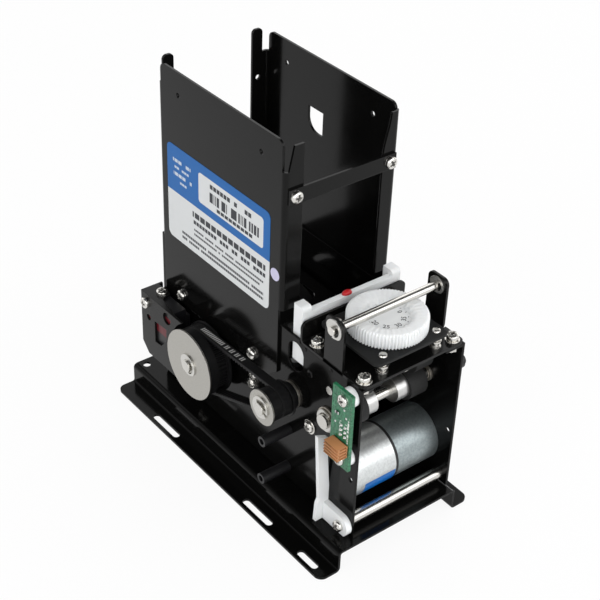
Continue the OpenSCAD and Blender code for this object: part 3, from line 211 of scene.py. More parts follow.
class Shell:
    # collects grid surfaces, then becomes one closed mesh; shade is a number kept at each point
    def __init__(self):
        self.points = []
        self.faces = []
        self.shades = []
        self.count = 0

    def add(self, points, faces, shade=0.0):
        self.points.append(np.asarray(points, float).reshape(-1, 3))
        self.faces.extend((np.asarray(faces) + self.count).tolist())
        self.shades.append(np.broadcast_to(np.ravel(shade), len(self.points[-1])))
        self.count += len(self.points[-1])

    def grid(self, points, closedU=False, closedV=False, caps=False, shade=0.0):
        # points[u, v] joined to its neighbours; caps close the first and last rows with a fan
        points = np.asarray(points, float)
        nu, nv = points.shape[:2]
        u = np.arange(nu if closedU else nu - 1)[:, None]
        v = np.arange(nv if closedV else nv - 1)[None, :]
        u2, v2 = (u + 1) % nu, (v + 1) % nv
        quads = np.stack([u * nv + v, u * nv + v2, u2 * nv + v2, u2 * nv + v], -1).reshape(-1, 4)
        self.add(points, quads, shade)
        if caps:
            for row in (points[0], points[-1]):
                fan = np.concatenate([row, row.mean(0)[None]])
                i = np.arange(nv)
                self.add(fan, np.stack([i, (i + 1) % nv, np.full(nv, nv)], -1))

    def piece(self, name, material, body, slotName, replaces=(), sharp=30.0):
        mesh = bpy.data.meshes.new(name)
        mesh.from_pydata(np.concatenate(self.points).tolist(), [], self.faces)
        if np.concatenate(self.shades).any():
            tone = mesh.attributes.new("shade", "FLOAT", "POINT")
            tone.data.foreach_set("value", np.concatenate(self.shades))
        work = bmesh.new()
        work.from_mesh(mesh)
        bmesh.ops.remove_doubles(work, verts=work.verts, dist=2e-7)
        bmesh.ops.dissolve_degenerate(work, edges=work.edges, dist=1e-7)
        bmesh.ops.recalc_face_normals(work, faces=work.faces)
        work.to_mesh(mesh)
        work.free()
        mesh.polygons.foreach_set("use_smooth", np.ones(len(mesh.polygons), bool))
        mesh.set_sharp_from_angle(angle=math.radians(sharp))
        mesh.materials.append(material)
        made = bpy.data.objects.new(name, mesh)
        bpy.context.scene.collection.objects.link(made)
        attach(made, body)
        if replaces:
            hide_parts(*replaces)
        return made


def turnFrame(axis):
    # two unit vectors square to axis, so that first x second = axis
    axis = np.asarray(axis, float)
    first = np.array([0, 0, 1.0]) if abs(axis[2]) < 0.9 else np.array([1.0, 0, 0])
    first = first - axis * (first @ axis)
    first /= np.linalg.norm(first)
    return first, np.cross(axis, first), axis


def lathe(profile, centre, axis, steps=40):
    # profile rows (radius, height) carried round the axis through centre
    first, second, axis = turnFrame(axis)
    a = np.linspace(0, 2 * np.pi, steps, endpoint=False)
    ring = np.cos(a)[:, None] * first + np.sin(a)[:, None] * second
    profile = np.asarray(profile, float)
    return centre + profile[:, 0, None, None] * ring[None] + profile[:, 1, None, None] * axis


def arcRing(inner, outer, low, high, angles, centre, axis):
    # a flat ring's cross-section, a rectangle, carried along the angles
    first, second, axis = turnFrame(axis)
    way = np.cos(angles)[:, None] * first + np.sin(angles)[:, None] * second
    corner = [(inner, low), (outer, low), (outer, high), (inner, high)]
    rows = [centre + np.broadcast_to(r, angles.shape)[:, None] * way
            + np.broadcast_to(h, angles.shape)[:, None] * axis for r, h in corner]
    return np.stack(rows, 1)


def roundedLoop(width, height, radius, steps=8):
    # outline of a rectangle about the origin with quarter-circle corners
    a = np.linspace(0, np.pi / 2, steps)
    arc = np.stack([np.cos(a), np.sin(a)], -1) * radius
    loop = []
    for k, (sx, sy) in enumerate([(1, 1), (-1, 1), (-1, -1), (1, -1)]):
        c, s = round(math.cos(k * math.pi / 2)), round(math.sin(k * math.pi / 2))
        turned = arc @ np.array([[c, s], [-s, c]])
        loop.append(turned + [sx * (width / 2 - radius), sy * (height / 2 - radius)])
    return np.concatenate(loop)


def islands(node):
    # the separate solids of a node, by passing the lowest label along shared corners
    mesh = nodes[node].data
    points = np.empty(len(mesh.vertices) * 3)
    mesh.vertices.foreach_get("co", points)
    points = points.reshape(-1, 3)
    index = np.empty(len(mesh.loops), np.int32)
    mesh.loops.foreach_get("vertex_index", index)
    key = np.unique(np.round(points * 1e6).astype(np.int64), axis=0, return_inverse=True)[1].ravel()
    triangles = key[index.reshape(-1, 3)]
    label = np.arange(key.max() + 1)
    while True:
        low = label[triangles].min(1)
        fresh = label.copy()
        for k in range(3):
            np.minimum.at(fresh, triangles[:, k], low)
        fresh = fresh[fresh]
        if (fresh == label).all():
            break
        label = fresh
    owner = label[key]
    return [points[owner == g] for g in np.unique(owner)]


def corners(node, unit=1.0):
    return [np.array(c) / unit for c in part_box(node)]


def middleOf(points):
    return (points.min(0) + points.max(0)) / 2


def middle(node):
    return sum(corners(node)) / 2


def smoothStep(t):
    t = np.clip(t, 0, 1)
    return t * t * (3 - 2 * t)


# finishes

def paintFinish(name, colour, rough, edgeColour, gloss=0.155):
    # enamel over sheet steel: faint orange peel, uneven gloss, edges where the coat is thin
    f = Finish(name)
    rounded, edge = f.edges(0.32)
    blotch = f.noise(26)
    peel = f.noise(0.9, detail=2.0)
    tone = f.mix(blotch, colour, tuple(c * 1.5 for c in colour))
    return f.set(colour=f.mix(edge * 0.5, tone, edgeColour), specular=gloss,
                 roughness=blotch.ramp(0.3, 0.75, rough * 0.8, rough * 1.25) + edge * 0.1,
                 normal=f.bump(peel, 0.004, 0.4, rounded))


def turnedFinish(name, colour, rough, line=(1, 0.02, 0.02), metallic=1.0, depth=0.003, mottle=0.0):
    # metal with fine turning lines, along the small numbers of line; mottle adds dull zinc spots
    f = Finish(name)
    rounded, edge = f.edges(0.18)
    lines = f.noise(0.16, line, detail=2.0)
    stain = f.noise(7)
    tone = f.mix(stain, tuple(c * 0.86 for c in colour), colour)
    dull = stain * 0.05
    if mottle:
        spots = f.noise(1.1, detail=5.0).ramp(0.4, 0.62) * mottle
        tone = f.mix(spots, tone, tuple(c * 0.62 for c in colour))
        dull = dull + spots * 0.14
    return f.set(colour=f.mix(edge * 0.3, tone, (0.85, 0.85, 0.84)), metallic=metallic,
                 roughness=lines.ramp(0.3, 0.7, rough * 0.75, rough * 1.3) + dull,
                 normal=f.bump(lines, depth, 0.6, rounded))


def screwFinish():
    # nickel plate, with painted shade darkening the cross recess where the shade attribute marks it
    f = Finish("screw_nickel")
    rounded = f.rounded(0.18)
    paintedRecessShade = f.node("ShaderNodeAttribute", {"attribute_name": "shade"}, out="Fac")
    stain = f.noise(2.5)
    tone = f.mix(stain, (0.60, 0.585, 0.55), (0.78, 0.765, 0.73))
    return f.set(colour=f.mix(paintedRecessShade * 0.9, tone, (0.02, 0.02, 0.02)), metallic=1 - paintedRecessShade * 0.7,
                 roughness=stain.ramp(0.3, 0.7, 0.14, 0.26) + paintedRecessShade * 0.3, normal=rounded)


def plasticFinish(name, colour, rough, soft=0.0, grain=0.5):
    # moulded plastic: fine eroded grain, slight shade change, softened corners
    f = Finish(name)
    rounded = f.rounded(0.3)
    cloud = f.noise(9)
    fine = f.noise(grain, detail=2.0)
    f.set(colour=f.mix(cloud, tuple(c * 0.93 for c in colour), colour),
          roughness=cloud.ramp(0.3, 0.7, rough * 0.9, rough * 1.12),
          specular=0.4, normal=f.bump(fine, 0.008, 0.6, rounded))
    if soft:
        f.set(soft=soft, softRadius=(1.0, 0.9, 0.8), softScale=1.2 * mm)
    return f.material


def rubberFinish(name, colour, rough, pores):
    f = Finish(name)
    rounded, edge = f.edges(0.25)
    dust = f.noise(4)
    fine = f.noise(pores, detail=4.0)
    grey = tuple(c + 0.012 for c in colour)
    return f.set(colour=f.mix(dust.ramp(0.45, 0.8) * 0.6 | edge * 0.4, colour, grey),
                 roughness=dust.ramp(0.3, 0.7, rough * 0.92, rough * 1.06), specular=0.3,
                 normal=f.bump(fine, 0.02, 0.7, rounded))


def pulleyFinish():
    # bright turned front disc, blackened toothed body behind it
    f = Finish("pulley_two_tone")
    rounded = f.rounded(0.2)
    face = float(corners("big_pulley", mm)[0][0])
    disc = f.x < face + pulley["discDepth"]
    big = middle("big_pulley") / mm
    small = middle("small_pulley") / mm
    onBig = f.y > pulley["split"]
    centreY = onBig * (big[1] - small[1]) + small[1]
    centreZ = onBig * (big[2] - small[2]) + small[2]
    r = f.radius(f.y, f.z, (centreY, centreZ))
    rings = f.node("ShaderNodeTexNoise", {"noise_dimensions": "1D"}, {"W": r * 5.5, "Detail": 3.0})
    stain = f.noise(5)
    bright = f.mix(rings, (0.34, 0.33, 0.305), (0.48, 0.467, 0.43))
    return f.set(colour=f.mix(disc, (0.006, 0.006, 0.0063), bright), metallic=disc, specular=0.2,
                 roughness=disc * (rings.ramp(0.3, 0.7, 0.2, 0.36) - 0.34) + 0.34 + stain * 0.06,
                 normal=f.bump(rings * disc, 0.01, 0.5, rounded))


def boardFinish():
    # solder mask over copper tracks, with white print blocks
    f = Finish("circuit_board")
    rounded, edge = f.edges(0.12)
    tracks = f.node("ShaderNodeTexVoronoi", {"feature": "DISTANCE_TO_EDGE", "distance": "MANHATTAN"},
                    {"Vector": f.place, "Scale": 0.42, "Randomness": 0.55}, out="Distance")
    lines = tracks.ramp(0.03, 0.09, 1.0, 0.0)
    cloth = f.noise(0.8, detail=1.0)
    mask = f.mix(lines * 0.75, (0.012, 0.115, 0.052), (0.03, 0.22, 0.10))
    low = corners("sensor_board", mm)[0]
    ink = None
    for y, z, wide, high in board["print"]:
        spot = (abs(f.y - (low[1] + y)) < wide / 2) & (abs(f.z - (low[2] + z)) < high / 2)
        ink = spot if ink is None else ink | spot
    outer = f.x < low[0] + 0.05
    dashes = f.cells((f.z * 1.9).floor(), (f.y * 0.8).floor()) > 0.3
    ink = ink & dashes & outer
    return f.set(colour=f.mix(ink, f.mix(edge * 0.5, mask, (0.25, 0.22, 0.12)), (0.72, 0.74, 0.70)),
                 roughness=cloth.ramp(0.3, 0.7, 0.24, 0.36) + ink * 0.2,
                 normal=f.bump(lines, 0.03, 0.5, rounded))


def labelFinish():
    # two fields with rows of dashes; s runs from the rear edge to the front one, t from the top down
    f = Finish("label_print")
    low, high = corners("hopper_label", mm)
    s = (high[1] - f.y) / (high[1] - low[1])
    t = (high[2] - f.z) / (high[2] - low[2])

    def panel(s0, s1, t0, t1):
        return s.between(s0, s1) & t.between(t0, t1)

    def rows(lines, seed):
        # each row: ends in s, top and bottom in t, dashes across, share that is inked
        made = None
        for k, (s0, s1, t0, t1, across, share) in enumerate(lines):
            step = s * across
            dash = (f.cells(step.floor(), seed + k) < share) & (step.fract() < 0.84)
            row = panel(s0, s1, t0, t1) & dash
            made = row if made is None else made | row
        return made

    blue = t < label["split"]
    # a rounded box: distance outside the shrunken box, in millimetres
    s0, s1, t0, t1 = label["inset"]

    def beyond(value, start, end, size):
        half = (end - start) * size / 2 - label["insetCorner"]
        return (abs(value - (start + end) / 2) * size - half) | 0.0

    outS = beyond(s, s0, s1, high[1] - low[1])
    outT = beyond(t, t0, t1, high[2] - low[2])
    inset = (outS * outS + outT * outT).root() < label["insetCorner"]
    barS = s * label["barcode"][4]
    bars = panel(*label["barcode"][:4]) & (f.cells(barS.floor(), 3.0) > 0.46)
    dark = rows(label["darkRows"], 11) | bars
    light = rows(label["lightRows"], 41)
    paper = f.noise(3.2, detail=2.0)
    ground = f.mix(blue & (1 - inset), (0.64, 0.655, 0.66), (0.008, 0.113, 0.365))
    ground = f.mix(light, ground, (0.5, 0.56, 0.64))
    printed = f.mix(dark, ground, (0.03, 0.032, 0.038))
    return f.set(colour=f.mix(paper * 0.03, printed, (0.4, 0.42, 0.46)), specular=0.15,
                 roughness=paper.ramp(0.3, 0.7, 0.3, 0.42), normal=f.bump(paper, 0.004, 0.4))


def sheetFinish(name, colour, rough):
    # small printed stickers
    f = Finish(name)
    fibre = f.noise(0.7, detail=4.0)
    return f.set(colour=f.mix(fibre, tuple(c * 0.9 for c in colour), colour),
                 roughness=fibre.ramp(0.3, 0.7, rough * 0.85, rough * 1.15), normal=f.bump(fibre, 0.004, 0.5))


def beltFinish():
    # neoprene back with a faint cloth weave, and a row of pale dashes along the upper run
    f = Finish("belt_neoprene")
    weave = (f.x * 9).sine() * (f.y * 9).sine()
    dust = f.noise(3)
    big, small = middle("big_pulley")[1:] / mm, middle("small_pulley")[1:] / mm
    gap = small - big
    reach = np.linalg.norm(gap)
    c, s = gap / reach
    along = (f.y - big[0]) * c + (f.z - big[1]) * s
    over = (f.y - big[0]) * s - (f.z - big[1]) * c
    step = along / beltPrint["pitch"]
    row = abs(f.x - float(middle("timing_belt")[0]) / mm) < beltPrint["half"]
    run = along.between(beltPrint["start"] * reach, beltPrint["end"] * reach) & (over > beltPrint["over"])
    dash = row & run & (step.fract() < 0.5) & (f.cells(step.floor(), 7.0) > 0.15)
    tone = f.mix(dust * 0.5, (0.004, 0.004, 0.0043), (0.009, 0.009, 0.0095))
    return f.set(colour=f.mix(dash, tone, (0.42, 0.42, 0.41)), specular=0.18,
                 roughness=dust.ramp(0.3, 0.7, 0.42, 0.56), normal=f.bump(weave * 0.5 + 0.5, 0.02, 0.5))


def sensorFinish():
    # red window behind the bracket, its real red darkened as painted shade, black body further in
    f = Finish("sensor_body")
    rounded = f.rounded(0.3)
    low, high = corners("rear_sensor", mm)
    red = f.z.between(high[2] - sensor["redDepth"], high[2] - sensor["topDark"])
    window = red & (f.x < low[0] + sensor["window"])
    cloud = f.noise(6)
    # the red is kept very dark: painted shade of the bracket over the window
    shade = f.mix(cloud, (0.085, 0.005, 0.009), (0.13, 0.007, 0.012))
    return f.set(colour=f.mix(window, (0.008, 0.008, 0.009), shade), specular=0.35,
                 roughness=cloud.ramp(0.3, 0.7, 0.3, 0.42), normal=rounded)


sensor = {"window": 2.4, "topDark": 4.0, "redDepth": 16.8}
beltPrint = {"pitch": 1.3, "half": 1.25, "start": 0.04, "end": 0.6, "over": 5.0}
pulley = {"discDepth": 0.85, "split": -10.0}
board = {"print": [(1.4, 22.0, 0.9, 14.0), (6.9, 19.8, 0.35, 8.0), (1.9, 19.8, 0.35, 8.0),
                   (4.5, 24.2, 4.6, 0.35)]}
label = {
    "split": 0.487,
    "inset": (0.32, 0.94, 0.095, 0.405), "insetCorner": 1.6,
    "barcode": (0.43, 0.90, 0.225, 0.325, 130.0),
    "darkRows": [(0.43, 0.90, 0.14, 0.185, 30.0, 0.8), (0.50, 0.84, 0.345, 0.38, 26.0, 0.9),
                 (0.255, 0.965, 0.555, 0.615, 18.0, 1.0), (0.26, 0.965, 0.645, 0.685, 34.0, 0.97),
                 (0.27, 0.95, 0.735, 0.757, 60.0, 0.9), (0.27, 0.93, 0.785, 0.807, 60.0, 0.9),
                 (0.14, 0.95, 0.858, 0.886, 56.0, 0.93), (0.14, 0.95, 0.910, 0.938, 56.0, 0.93)],
    "lightRows": [(0.06, 0.24, 0.13, 0.165, 26.0, 0.9), (0.075, 0.22, 0.205, 0.23, 40.0, 0.85),
                  (0.065, 0.25, 0.27, 0.305, 26.0, 0.9), (0.13, 0.2, 0.345, 0.37, 40.0, 0.85)],
}

blackPaint = paintFinish("black_enamel", (0.0026, 0.0026, 0.0025), 0.13, (0.03, 0.03, 0.03))
framePaint = paintFinish("frame_enamel", (0.0022, 0.0022, 0.0021), 0.13, (0.03, 0.03, 0.03), 0.11)
deckPaint = paintFinish("deck_enamel", (0.0034, 0.0034, 0.0033), 0.16, (0.035, 0.035, 0.035), 0.2)
greyPaint = paintFinish("bracket_enamel", (0.0045, 0.0045, 0.0043), 0.24, (0.04, 0.04, 0.04))
satinPaint = paintFinish("satin_enamel", (0.007, 0.0072, 0.0073), 0.42, (0.05, 0.05, 0.05))
brightSteel = turnedFinish("bright_steel", (0.66, 0.645, 0.61), 0.2, (0.4, 0.4, 0.4), depth=0.0012)
nickel = turnedFinish("nickel_plate", (0.74, 0.72, 0.68), 0.15, (0.6, 0.6, 0.6))
screwNickel = screwFinish()
springSteel = turnedFinish("clip_steel", (0.66, 0.65, 0.62), 0.28, (0.3, 1, 1))
hubMetal = turnedFinish("turned_hub", (0.64, 0.64, 0.63), 0.32)
canMetal = turnedFinish("zinc_can", (0.74, 0.765, 0.765), 0.32, (1, 0.06, 0.06), 0.88, 0.002, 0.4)
gearboxMetal = turnedFinish("zinc_gearbox", (0.36, 0.41, 0.42), 0.34, (0.5, 0.3, 0.3), 0.9, 0.002, 0.5)
bushMetal = turnedFinish("sintered_bush", (0.50, 0.46, 0.40), 0.36, (1, 1, 1))
pulleyMetal = pulleyFinish()
whitePlastic = plasticFinish("white_acetal", (0.82, 0.835, 0.84), 0.36, soft=0.15)
blackPlastic = plasticFinish("black_nylon", (0.008, 0.008, 0.009), 0.42)
redPlastic = plasticFinish("red_moulding", (0.52, 0.012, 0.016), 0.34)
tanPlastic = plasticFinish("tan_moulding", (0.47, 0.21, 0.085), 0.4)
boardGreen = boardFinish()
labelPrint = labelFinish()
blackRubber = rubberFinish("roller_rubber", (0.009, 0.009, 0.009), 0.6, 0.25)
beltRubber = beltFinish()
print("finishes made:", len(bpy.data.materials))

bySlot = {"black_paint": blackPaint, "grey_paint": greyPaint, "steel": brightSteel, "plated_steel": nickel,
          "spring_steel": springSteel, "aluminium": hubMetal, "motor_steel": canMetal,
          "motor_zinc": gearboxMetal, "white_plastic": whitePlastic, "black_plastic": blackPlastic,
          "red_plastic": redPlastic, "tan_plastic": tanPlastic, "board_green": boardGreen,
          "label_film": labelPrint, "black_rubber": blackRubber, "belt_rubber": beltRubber}
byNode = {"big_pulley": pulleyMetal, "small_pulley": pulleyMetal, "shaft_bushes": bushMetal,
          "rear_sensor": sensorFinish(), "rear_board": blackPlastic, "dial_plate": satinPaint,
          "front_deck": deckPaint, "left_chassis_plate": framePaint, "right_chassis_plate": framePaint,
          "base_plate": framePaint}
for part in frame["record"]["subparts"]:
    mesh = nodes[part["node"]].data
    mesh.materials.clear()
    mesh.materials.append(byNode.get(part["node"], bySlot[part["material_slot"]]))


# screws: domed head with a cross recess, ringed thread

screw = {"headRadius": 2.8, "headHeight": 2.2, "threadRadius": 1.5, "pitch": 0.5, "crossWidth": 0.46,
         "crossReach": 1.75, "crossDepth": 1.1, "washerRadius": 3.7, "washerHeight": 0.7}


def screwSeats(node):
    # seat, outward axis and shank length of each screw, from the solid's own corners
    seats = []
    for points in islands(node):
        low, high = points.min(0), points.max(0)
        k = int(np.argmax(np.abs(high - low - 2 * screw["headRadius"] * mm)))
        centre = (low + high) / 2
        away = points - centre
        away[:, k] = 0
        rim = points[np.linalg.norm(away, axis=1) > 0.9 * screw["headRadius"] * mm, k]
        sign = 1.0 if rim.mean() > centre[k] else -1.0
        seat = rim.min() if sign > 0 else rim.max()
        tip = low[k] if sign > 0 else high[k]
        centre[k] = seat
        axis = np.zeros(3)
        axis[k] = sign
        seats.append((centre, axis, abs(seat - tip)))
    return seats


def screwHead(centre, axis, turn):
    # height over the seat as a function of radius and angle: a dome less two crossed bars
    r = np.concatenate([np.linspace(0, 2.3, 17), [2.55, 2.72, 2.8]])[:, None] * mm
    a = np.linspace(0, 2 * np.pi, 56, endpoint=False)[None, :]
    big, tall = screw["headRadius"] * mm, screw["headHeight"] * mm
    dome = tall * (0.52 + 0.48 * np.sqrt(np.clip(1 - (r / big) ** 2, 0, 1)))
    across, along = r * np.cos(a) / mm, r * np.sin(a) / mm

    def bar(u, v):
        taper = screw["crossWidth"] * (1.15 - 0.25 * np.abs(u))
        ends = smoothStep((screw["crossReach"] - np.abs(u)) / 0.3)
        return ends * smoothStep((taper - np.abs(v)) / 0.16 + 0.5)

    cut = np.maximum(bar(across, along), bar(along, across))
    first, second, axis = turnFrame(axis)
    way = np.cos(a + turn)[..., None] * first + np.sin(a + turn)[..., None] * second
    top = centre + r[..., None] * way + (dome - cut * screw["crossDepth"] * mm)[..., None] * axis
    rim = centre + big * way
    # the recess share comes back too, kept as shade for the painted shade in the cross
    return np.concatenate([top, rim]), np.concatenate([cut, 0 * cut[:1]])


def screwShank(length, core, crest):
    # ringed thread: radius goes up and down once a pitch
    steps = int(length / (screw["pitch"] * mm)) * 2
    h = -np.linspace(0, length, steps + 1)
    r = np.where(np.arange(steps + 1) % 2, core, crest)
    rows = np.stack([r, h], -1)
    return np.concatenate([[[screw["headRadius"] * mm, 0]], rows, [[core * 0.6, -length], [0, -length]]])


def washerRows(inner, outer, thick):
    # section of a flat washer with its upper corner broken
    rows = [(inner, 0), (outer, 0), (outer, thick * 0.7), (outer - 0.15, thick), (inner, thick)]
    return np.array(rows) * mm


shell, rings = Shell(), Shell()
rodEnds = [middleOf(points)[1:] for points in islands("cross_rods")]
for i, (centre, axis, length) in enumerate(screwSeats("pan_head_screws")):
    head, cut = screwHead(centre, axis, 0.7 * i)
    # the cross recess's share goes in as shade, which the screw finish paints dark as painted shade
    shell.grid(head, closedV=True, shade=cut)
    crest = screw["threadRadius"] * mm
    shell.grid(lathe(screwShank(length, crest * 0.82, crest), centre, axis, 56), closedV=True)
    if axis[0] and min(np.linalg.norm(centre[1:] - end) for end in rodEnds) < mm:
        # a flat washer shows round the heads that hold the cross rods
        rows = washerRows(screw["headRadius"] + 0.02, screw["washerRadius"], screw["washerHeight"])
        rings.grid(lathe(rows, centre, axis, 48), closedU=True, closedV=True)
shell.piece("machine_screws", screwNickel, "frame", "plated_steel", ["pan_head_screws"])
rings.piece("rod_washers", nickel, "frame", "plated_steel")
print("screws:", i + 1)


# deck washers: a flat washer under a split spring washer

washer = {"flatRadius": 3.4, "flatHeight": 0.5, "ringRadius": 2.65, "ringHeight": 0.75, "rise": 0.15,
          "gap": 9.0, "slack": 0.04}
shell = Shell()
for points in islands("deck_washers"):
    low, high = points.min(0), points.max(0)
    seat = np.array([*((low + high) / 2)[:2], low[2]])
    bore = screw["threadRadius"] + washer["slack"]
    flat = washerRows(bore, washer["flatRadius"], washer["flatHeight"])
    shell.grid(lathe(flat, seat, (0, 0, 1), 48), closedU=True, closedV=True)
    a = np.radians(np.linspace(washer["gap"], 360 - washer["gap"], 49))
    lift = washer["flatHeight"] * mm + np.linspace(0, washer["rise"] * mm, 49)
    ring = arcRing(bore * mm, washer["ringRadius"] * mm, lift, lift + washer["ringHeight"] * mm, a + 0.8,
                   seat, (0, 0, 1))
    shell.grid(ring, closedV=True, caps=True)
shell.piece("deck_washer_stacks", nickel, "frame", "steel", ["deck_washers"])


# retaining clips: a ring with a narrow mouth and a crescent of relief on one side

clip = {"mouth": 14.0, "relief": 0.46, "lobe": 18.0, "ease": 9.0, "thin": 0.25, "thinFrom": 96.0,
        "thinOver": 40.0}


def retainingClip(shell, points, turn):
    # inner radius is the shaft's, larger between two lobes; the outer one thins at the mouth
    low, high = points.min(0), points.max(0)
    centre = (low + high) / 2
    centre[0] = low[0]
    away = np.linalg.norm((points - centre)[:, 1:], axis=1)
    grip, outer = away.min(), away.max()
    a = np.radians(np.linspace(clip["mouth"], 360 - clip["mouth"], 97))
    near = np.min([np.abs(np.degrees(a) - p) for p in (180, 351 - clip["mouth"])], axis=0)
    relief = smoothStep((near - clip["lobe"] / 2) / clip["ease"]) * (a > np.pi)
    inner = grip + (outer - grip) * clip["relief"] * relief
    thin = smoothStep((np.abs(np.degrees(a) - 180) - clip["thinFrom"]) / clip["thinOver"])
    rim = outer - (outer - grip) * clip["thin"] * thin
    shell.grid(arcRing(inner, rim, 0 * a, 0 * a + (high[0] - low[0]), a + turn, centre, (1, 0, 0)),
               closedV=True, caps=True)


for name, node, body, turn in [("guard_rod_rings", "guard_rod_clips", "frame", 3.6),
                               ("exit_rings", "exit_clips", "exit_set", 0.9),
                               ("feed_rings", "feed_clips", "feed_set", 2.0),
                               ("pick_rings", "pick_clips", "pick_set", 3.6)]:
    shell = Shell()
    for points in islands(node):
        retainingClip(shell, points, turn)
    shell.piece(name, springSteel, body, "spring_steel", [node])
print("washers and clips made")


# drive belt: a loop round both pulleys, toothed inside on its free runs

belt = {"thick": 1.2, "pitch": 2.032, "tooth": 0.7, "edge": 0.18}


def beltLoop():
    # path of the belt's back: big arc, straight run, small arc, straight run, sampled evenly
    low, high = corners("timing_belt")
    big, small = middle("big_pulley")[1:], middle("small_pulley")[1:]
    bigR, smallR = high[1] - big[0], small[0] - low[1]
    gap = small - big
    reach = np.linalg.norm(gap)
    way = math.atan2(gap[1], gap[0])
    tilt = math.acos((bigR - smallR) / reach)
    run = math.sqrt(reach ** 2 - (bigR - smallR) ** 2)
    lengths = [bigR * (2 * np.pi - 2 * tilt), run, smallR * 2 * tilt, run]
    count = int(sum(lengths) / (belt["pitch"] * mm)) * 6
    d = np.linspace(0, sum(lengths), count, endpoint=False)
    ends = np.cumsum(lengths)
    a1 = way + tilt + d / bigR
    a3 = way - tilt + (d - ends[1]) / smallR
    t2, t4 = (d - ends[0]) / run, (d - ends[2]) / run
    lower = np.array([math.cos(way - tilt), math.sin(way - tilt)])
    upper = np.array([math.cos(way + tilt), math.sin(way + tilt)])
    piece = np.searchsorted(ends, d, side="right")
    out1 = np.stack([np.cos(a1), np.sin(a1)], -1)
    out3 = np.stack([np.cos(a3), np.sin(a3)], -1)
    back = [big + bigR * out1, big + bigR * lower + t2[:, None] * (gap + (smallR - bigR) * lower),
            small + smallR * out3, small + smallR * upper + t4[:, None] * ((bigR - smallR) * upper - gap)]
    outward = [out1, np.broadcast_to(lower, out1.shape), out3, np.broadcast_to(upper, out1.shape)]
    straight = [0 * d, np.minimum(t2, 1 - t2) * run, 0 * d, np.minimum(t4, 1 - t4) * run]
    pick = np.arange(len(d))
    return (np.array(back)[piece, pick], np.array(outward)[piece, pick], np.array(straight)[piece, pick],
            d, low[0], high[0])


back, outward, straight, along, x0, x1 = beltLoop()
wave = np.clip(1.4 * np.cos(2 * np.pi * along / (belt["pitch"] * mm)), -0.6, 0.6) / 1.2 + 0.5
depth = (belt["thick"] + belt["tooth"] * wave * smoothStep((straight / mm - 3) / 3)) * mm
edge = belt["edge"] * mm
section = [(x0, 0, 1), (x0, 1, 0), (x0 + edge, 0, 0), (x1 - edge, 0, 0), (x1, 1, 0), (x1, 0, 1)]
rows = []
for x, rounding, inner in section:
    inset = depth * inner + edge * rounding
    flat = back - outward * inset[:, None] if np.ndim(inset) else back - outward * inset
    rows.append(np.concatenate([np.full((len(flat), 1), x), flat], 1))
shell = Shell()
shell.grid(np.stack(rows, 1), closedU=True, closedV=True)
shell.piece("toothed_belt", beltRubber, "frame", "belt_rubber", ["timing_belt"], 40)
print("belt made")


# dial: fluted rim, grooved crown, scalloped recess with a printed scale

dial = {"teeth": 76, "toothDepth": 0.75, "recess": 10.8, "recessDepth": 2.9, "flutes": 38, "scallops": 24,
        "numbers": 8, "fontSize": 3.22, "scaleRadius": 7.0, "tickRadius": 9.0, "tick": (0.22, 0.9, 0.1),
        "ink": 0.03}
low, high = corners("thumb_dial")
dialMiddle = (low + high) / 2
dialR, dialLow, dialTop = (high[0] - low[0]) / 2 / mm, low[2], (high[2] - low[2]) / mm
recess, dialFloor = dial["recess"], dialTop - dial["recessDepth"]
# rows of radius, height, tooth share, flute share and scallop share
profile = np.array([
    (0, 0, 0, 0, 0), (dialR - 1.4, 0, 0, 0, 0), (dialR - 0.1, 0, 1, 0, 0), (dialR, 0.15, 1, 0, 0),
    (dialR, dialTop - 1.1, 1, 0, 0), (dialR - 0.15, dialTop - 0.6, 1, 0, 0),
    (dialR - 0.5, dialTop - 0.2, 0.8, 0, 0), (dialR - 1.1, dialTop, 0.3, 0.2, 0),
    (dialR - 2.2, dialTop - 0.04, 0, 0.8, 0), (dialR - 3.4, dialTop - 0.12, 0, 1, 0),
    (dialR - 4.8, dialTop - 0.22, 0, 1, 0), (recess + 1.3, dialTop - 0.36, 0, 0.7, 0.4),
    (recess + 0.5, dialTop - 0.65, 0, 0.3, 0.9), (recess, dialTop - 1.1, 0, 0, 1),
    (recess - 0.5, dialTop - 1.8, 0, 0, 0.6), (recess - 1.1, dialFloor + 0.1, 0, 0, 0.2),
    (recess - 1.7, dialFloor, 0, 0, 0), (0, dialFloor, 0, 0, 0)])
a = np.linspace(0, 2 * np.pi, dial["teeth"] * 8, endpoint=False)
tooth = np.clip(1.6 * np.cos(a * dial["teeth"]), -1, 1) / 2 + 0.5
flute = 0.5 - 0.5 * np.cos(a * dial["flutes"])
scallop = np.abs(np.sin(a * dial["scallops"] / 2)) - 0.5
r = profile[:, :1] - profile[:, 2:3] * dial["toothDepth"] * (1 - tooth) + profile[:, 4:5] * 0.7 * scallop
h = profile[:, 1:2] - profile[:, 3:4] * 0.12 * flute + profile[:, 4:5] * 0.12 * scallop
ring = np.stack([r * np.cos(a), r * np.sin(a), h + 0 * r], -1) * mm
shell = Shell()
shell.grid(ring + [dialMiddle[0], dialMiddle[1], dialLow], closedV=True)
shell.piece("numbered_dial", whitePlastic, "dial", "white_plastic", ["thumb_dial"], 42)


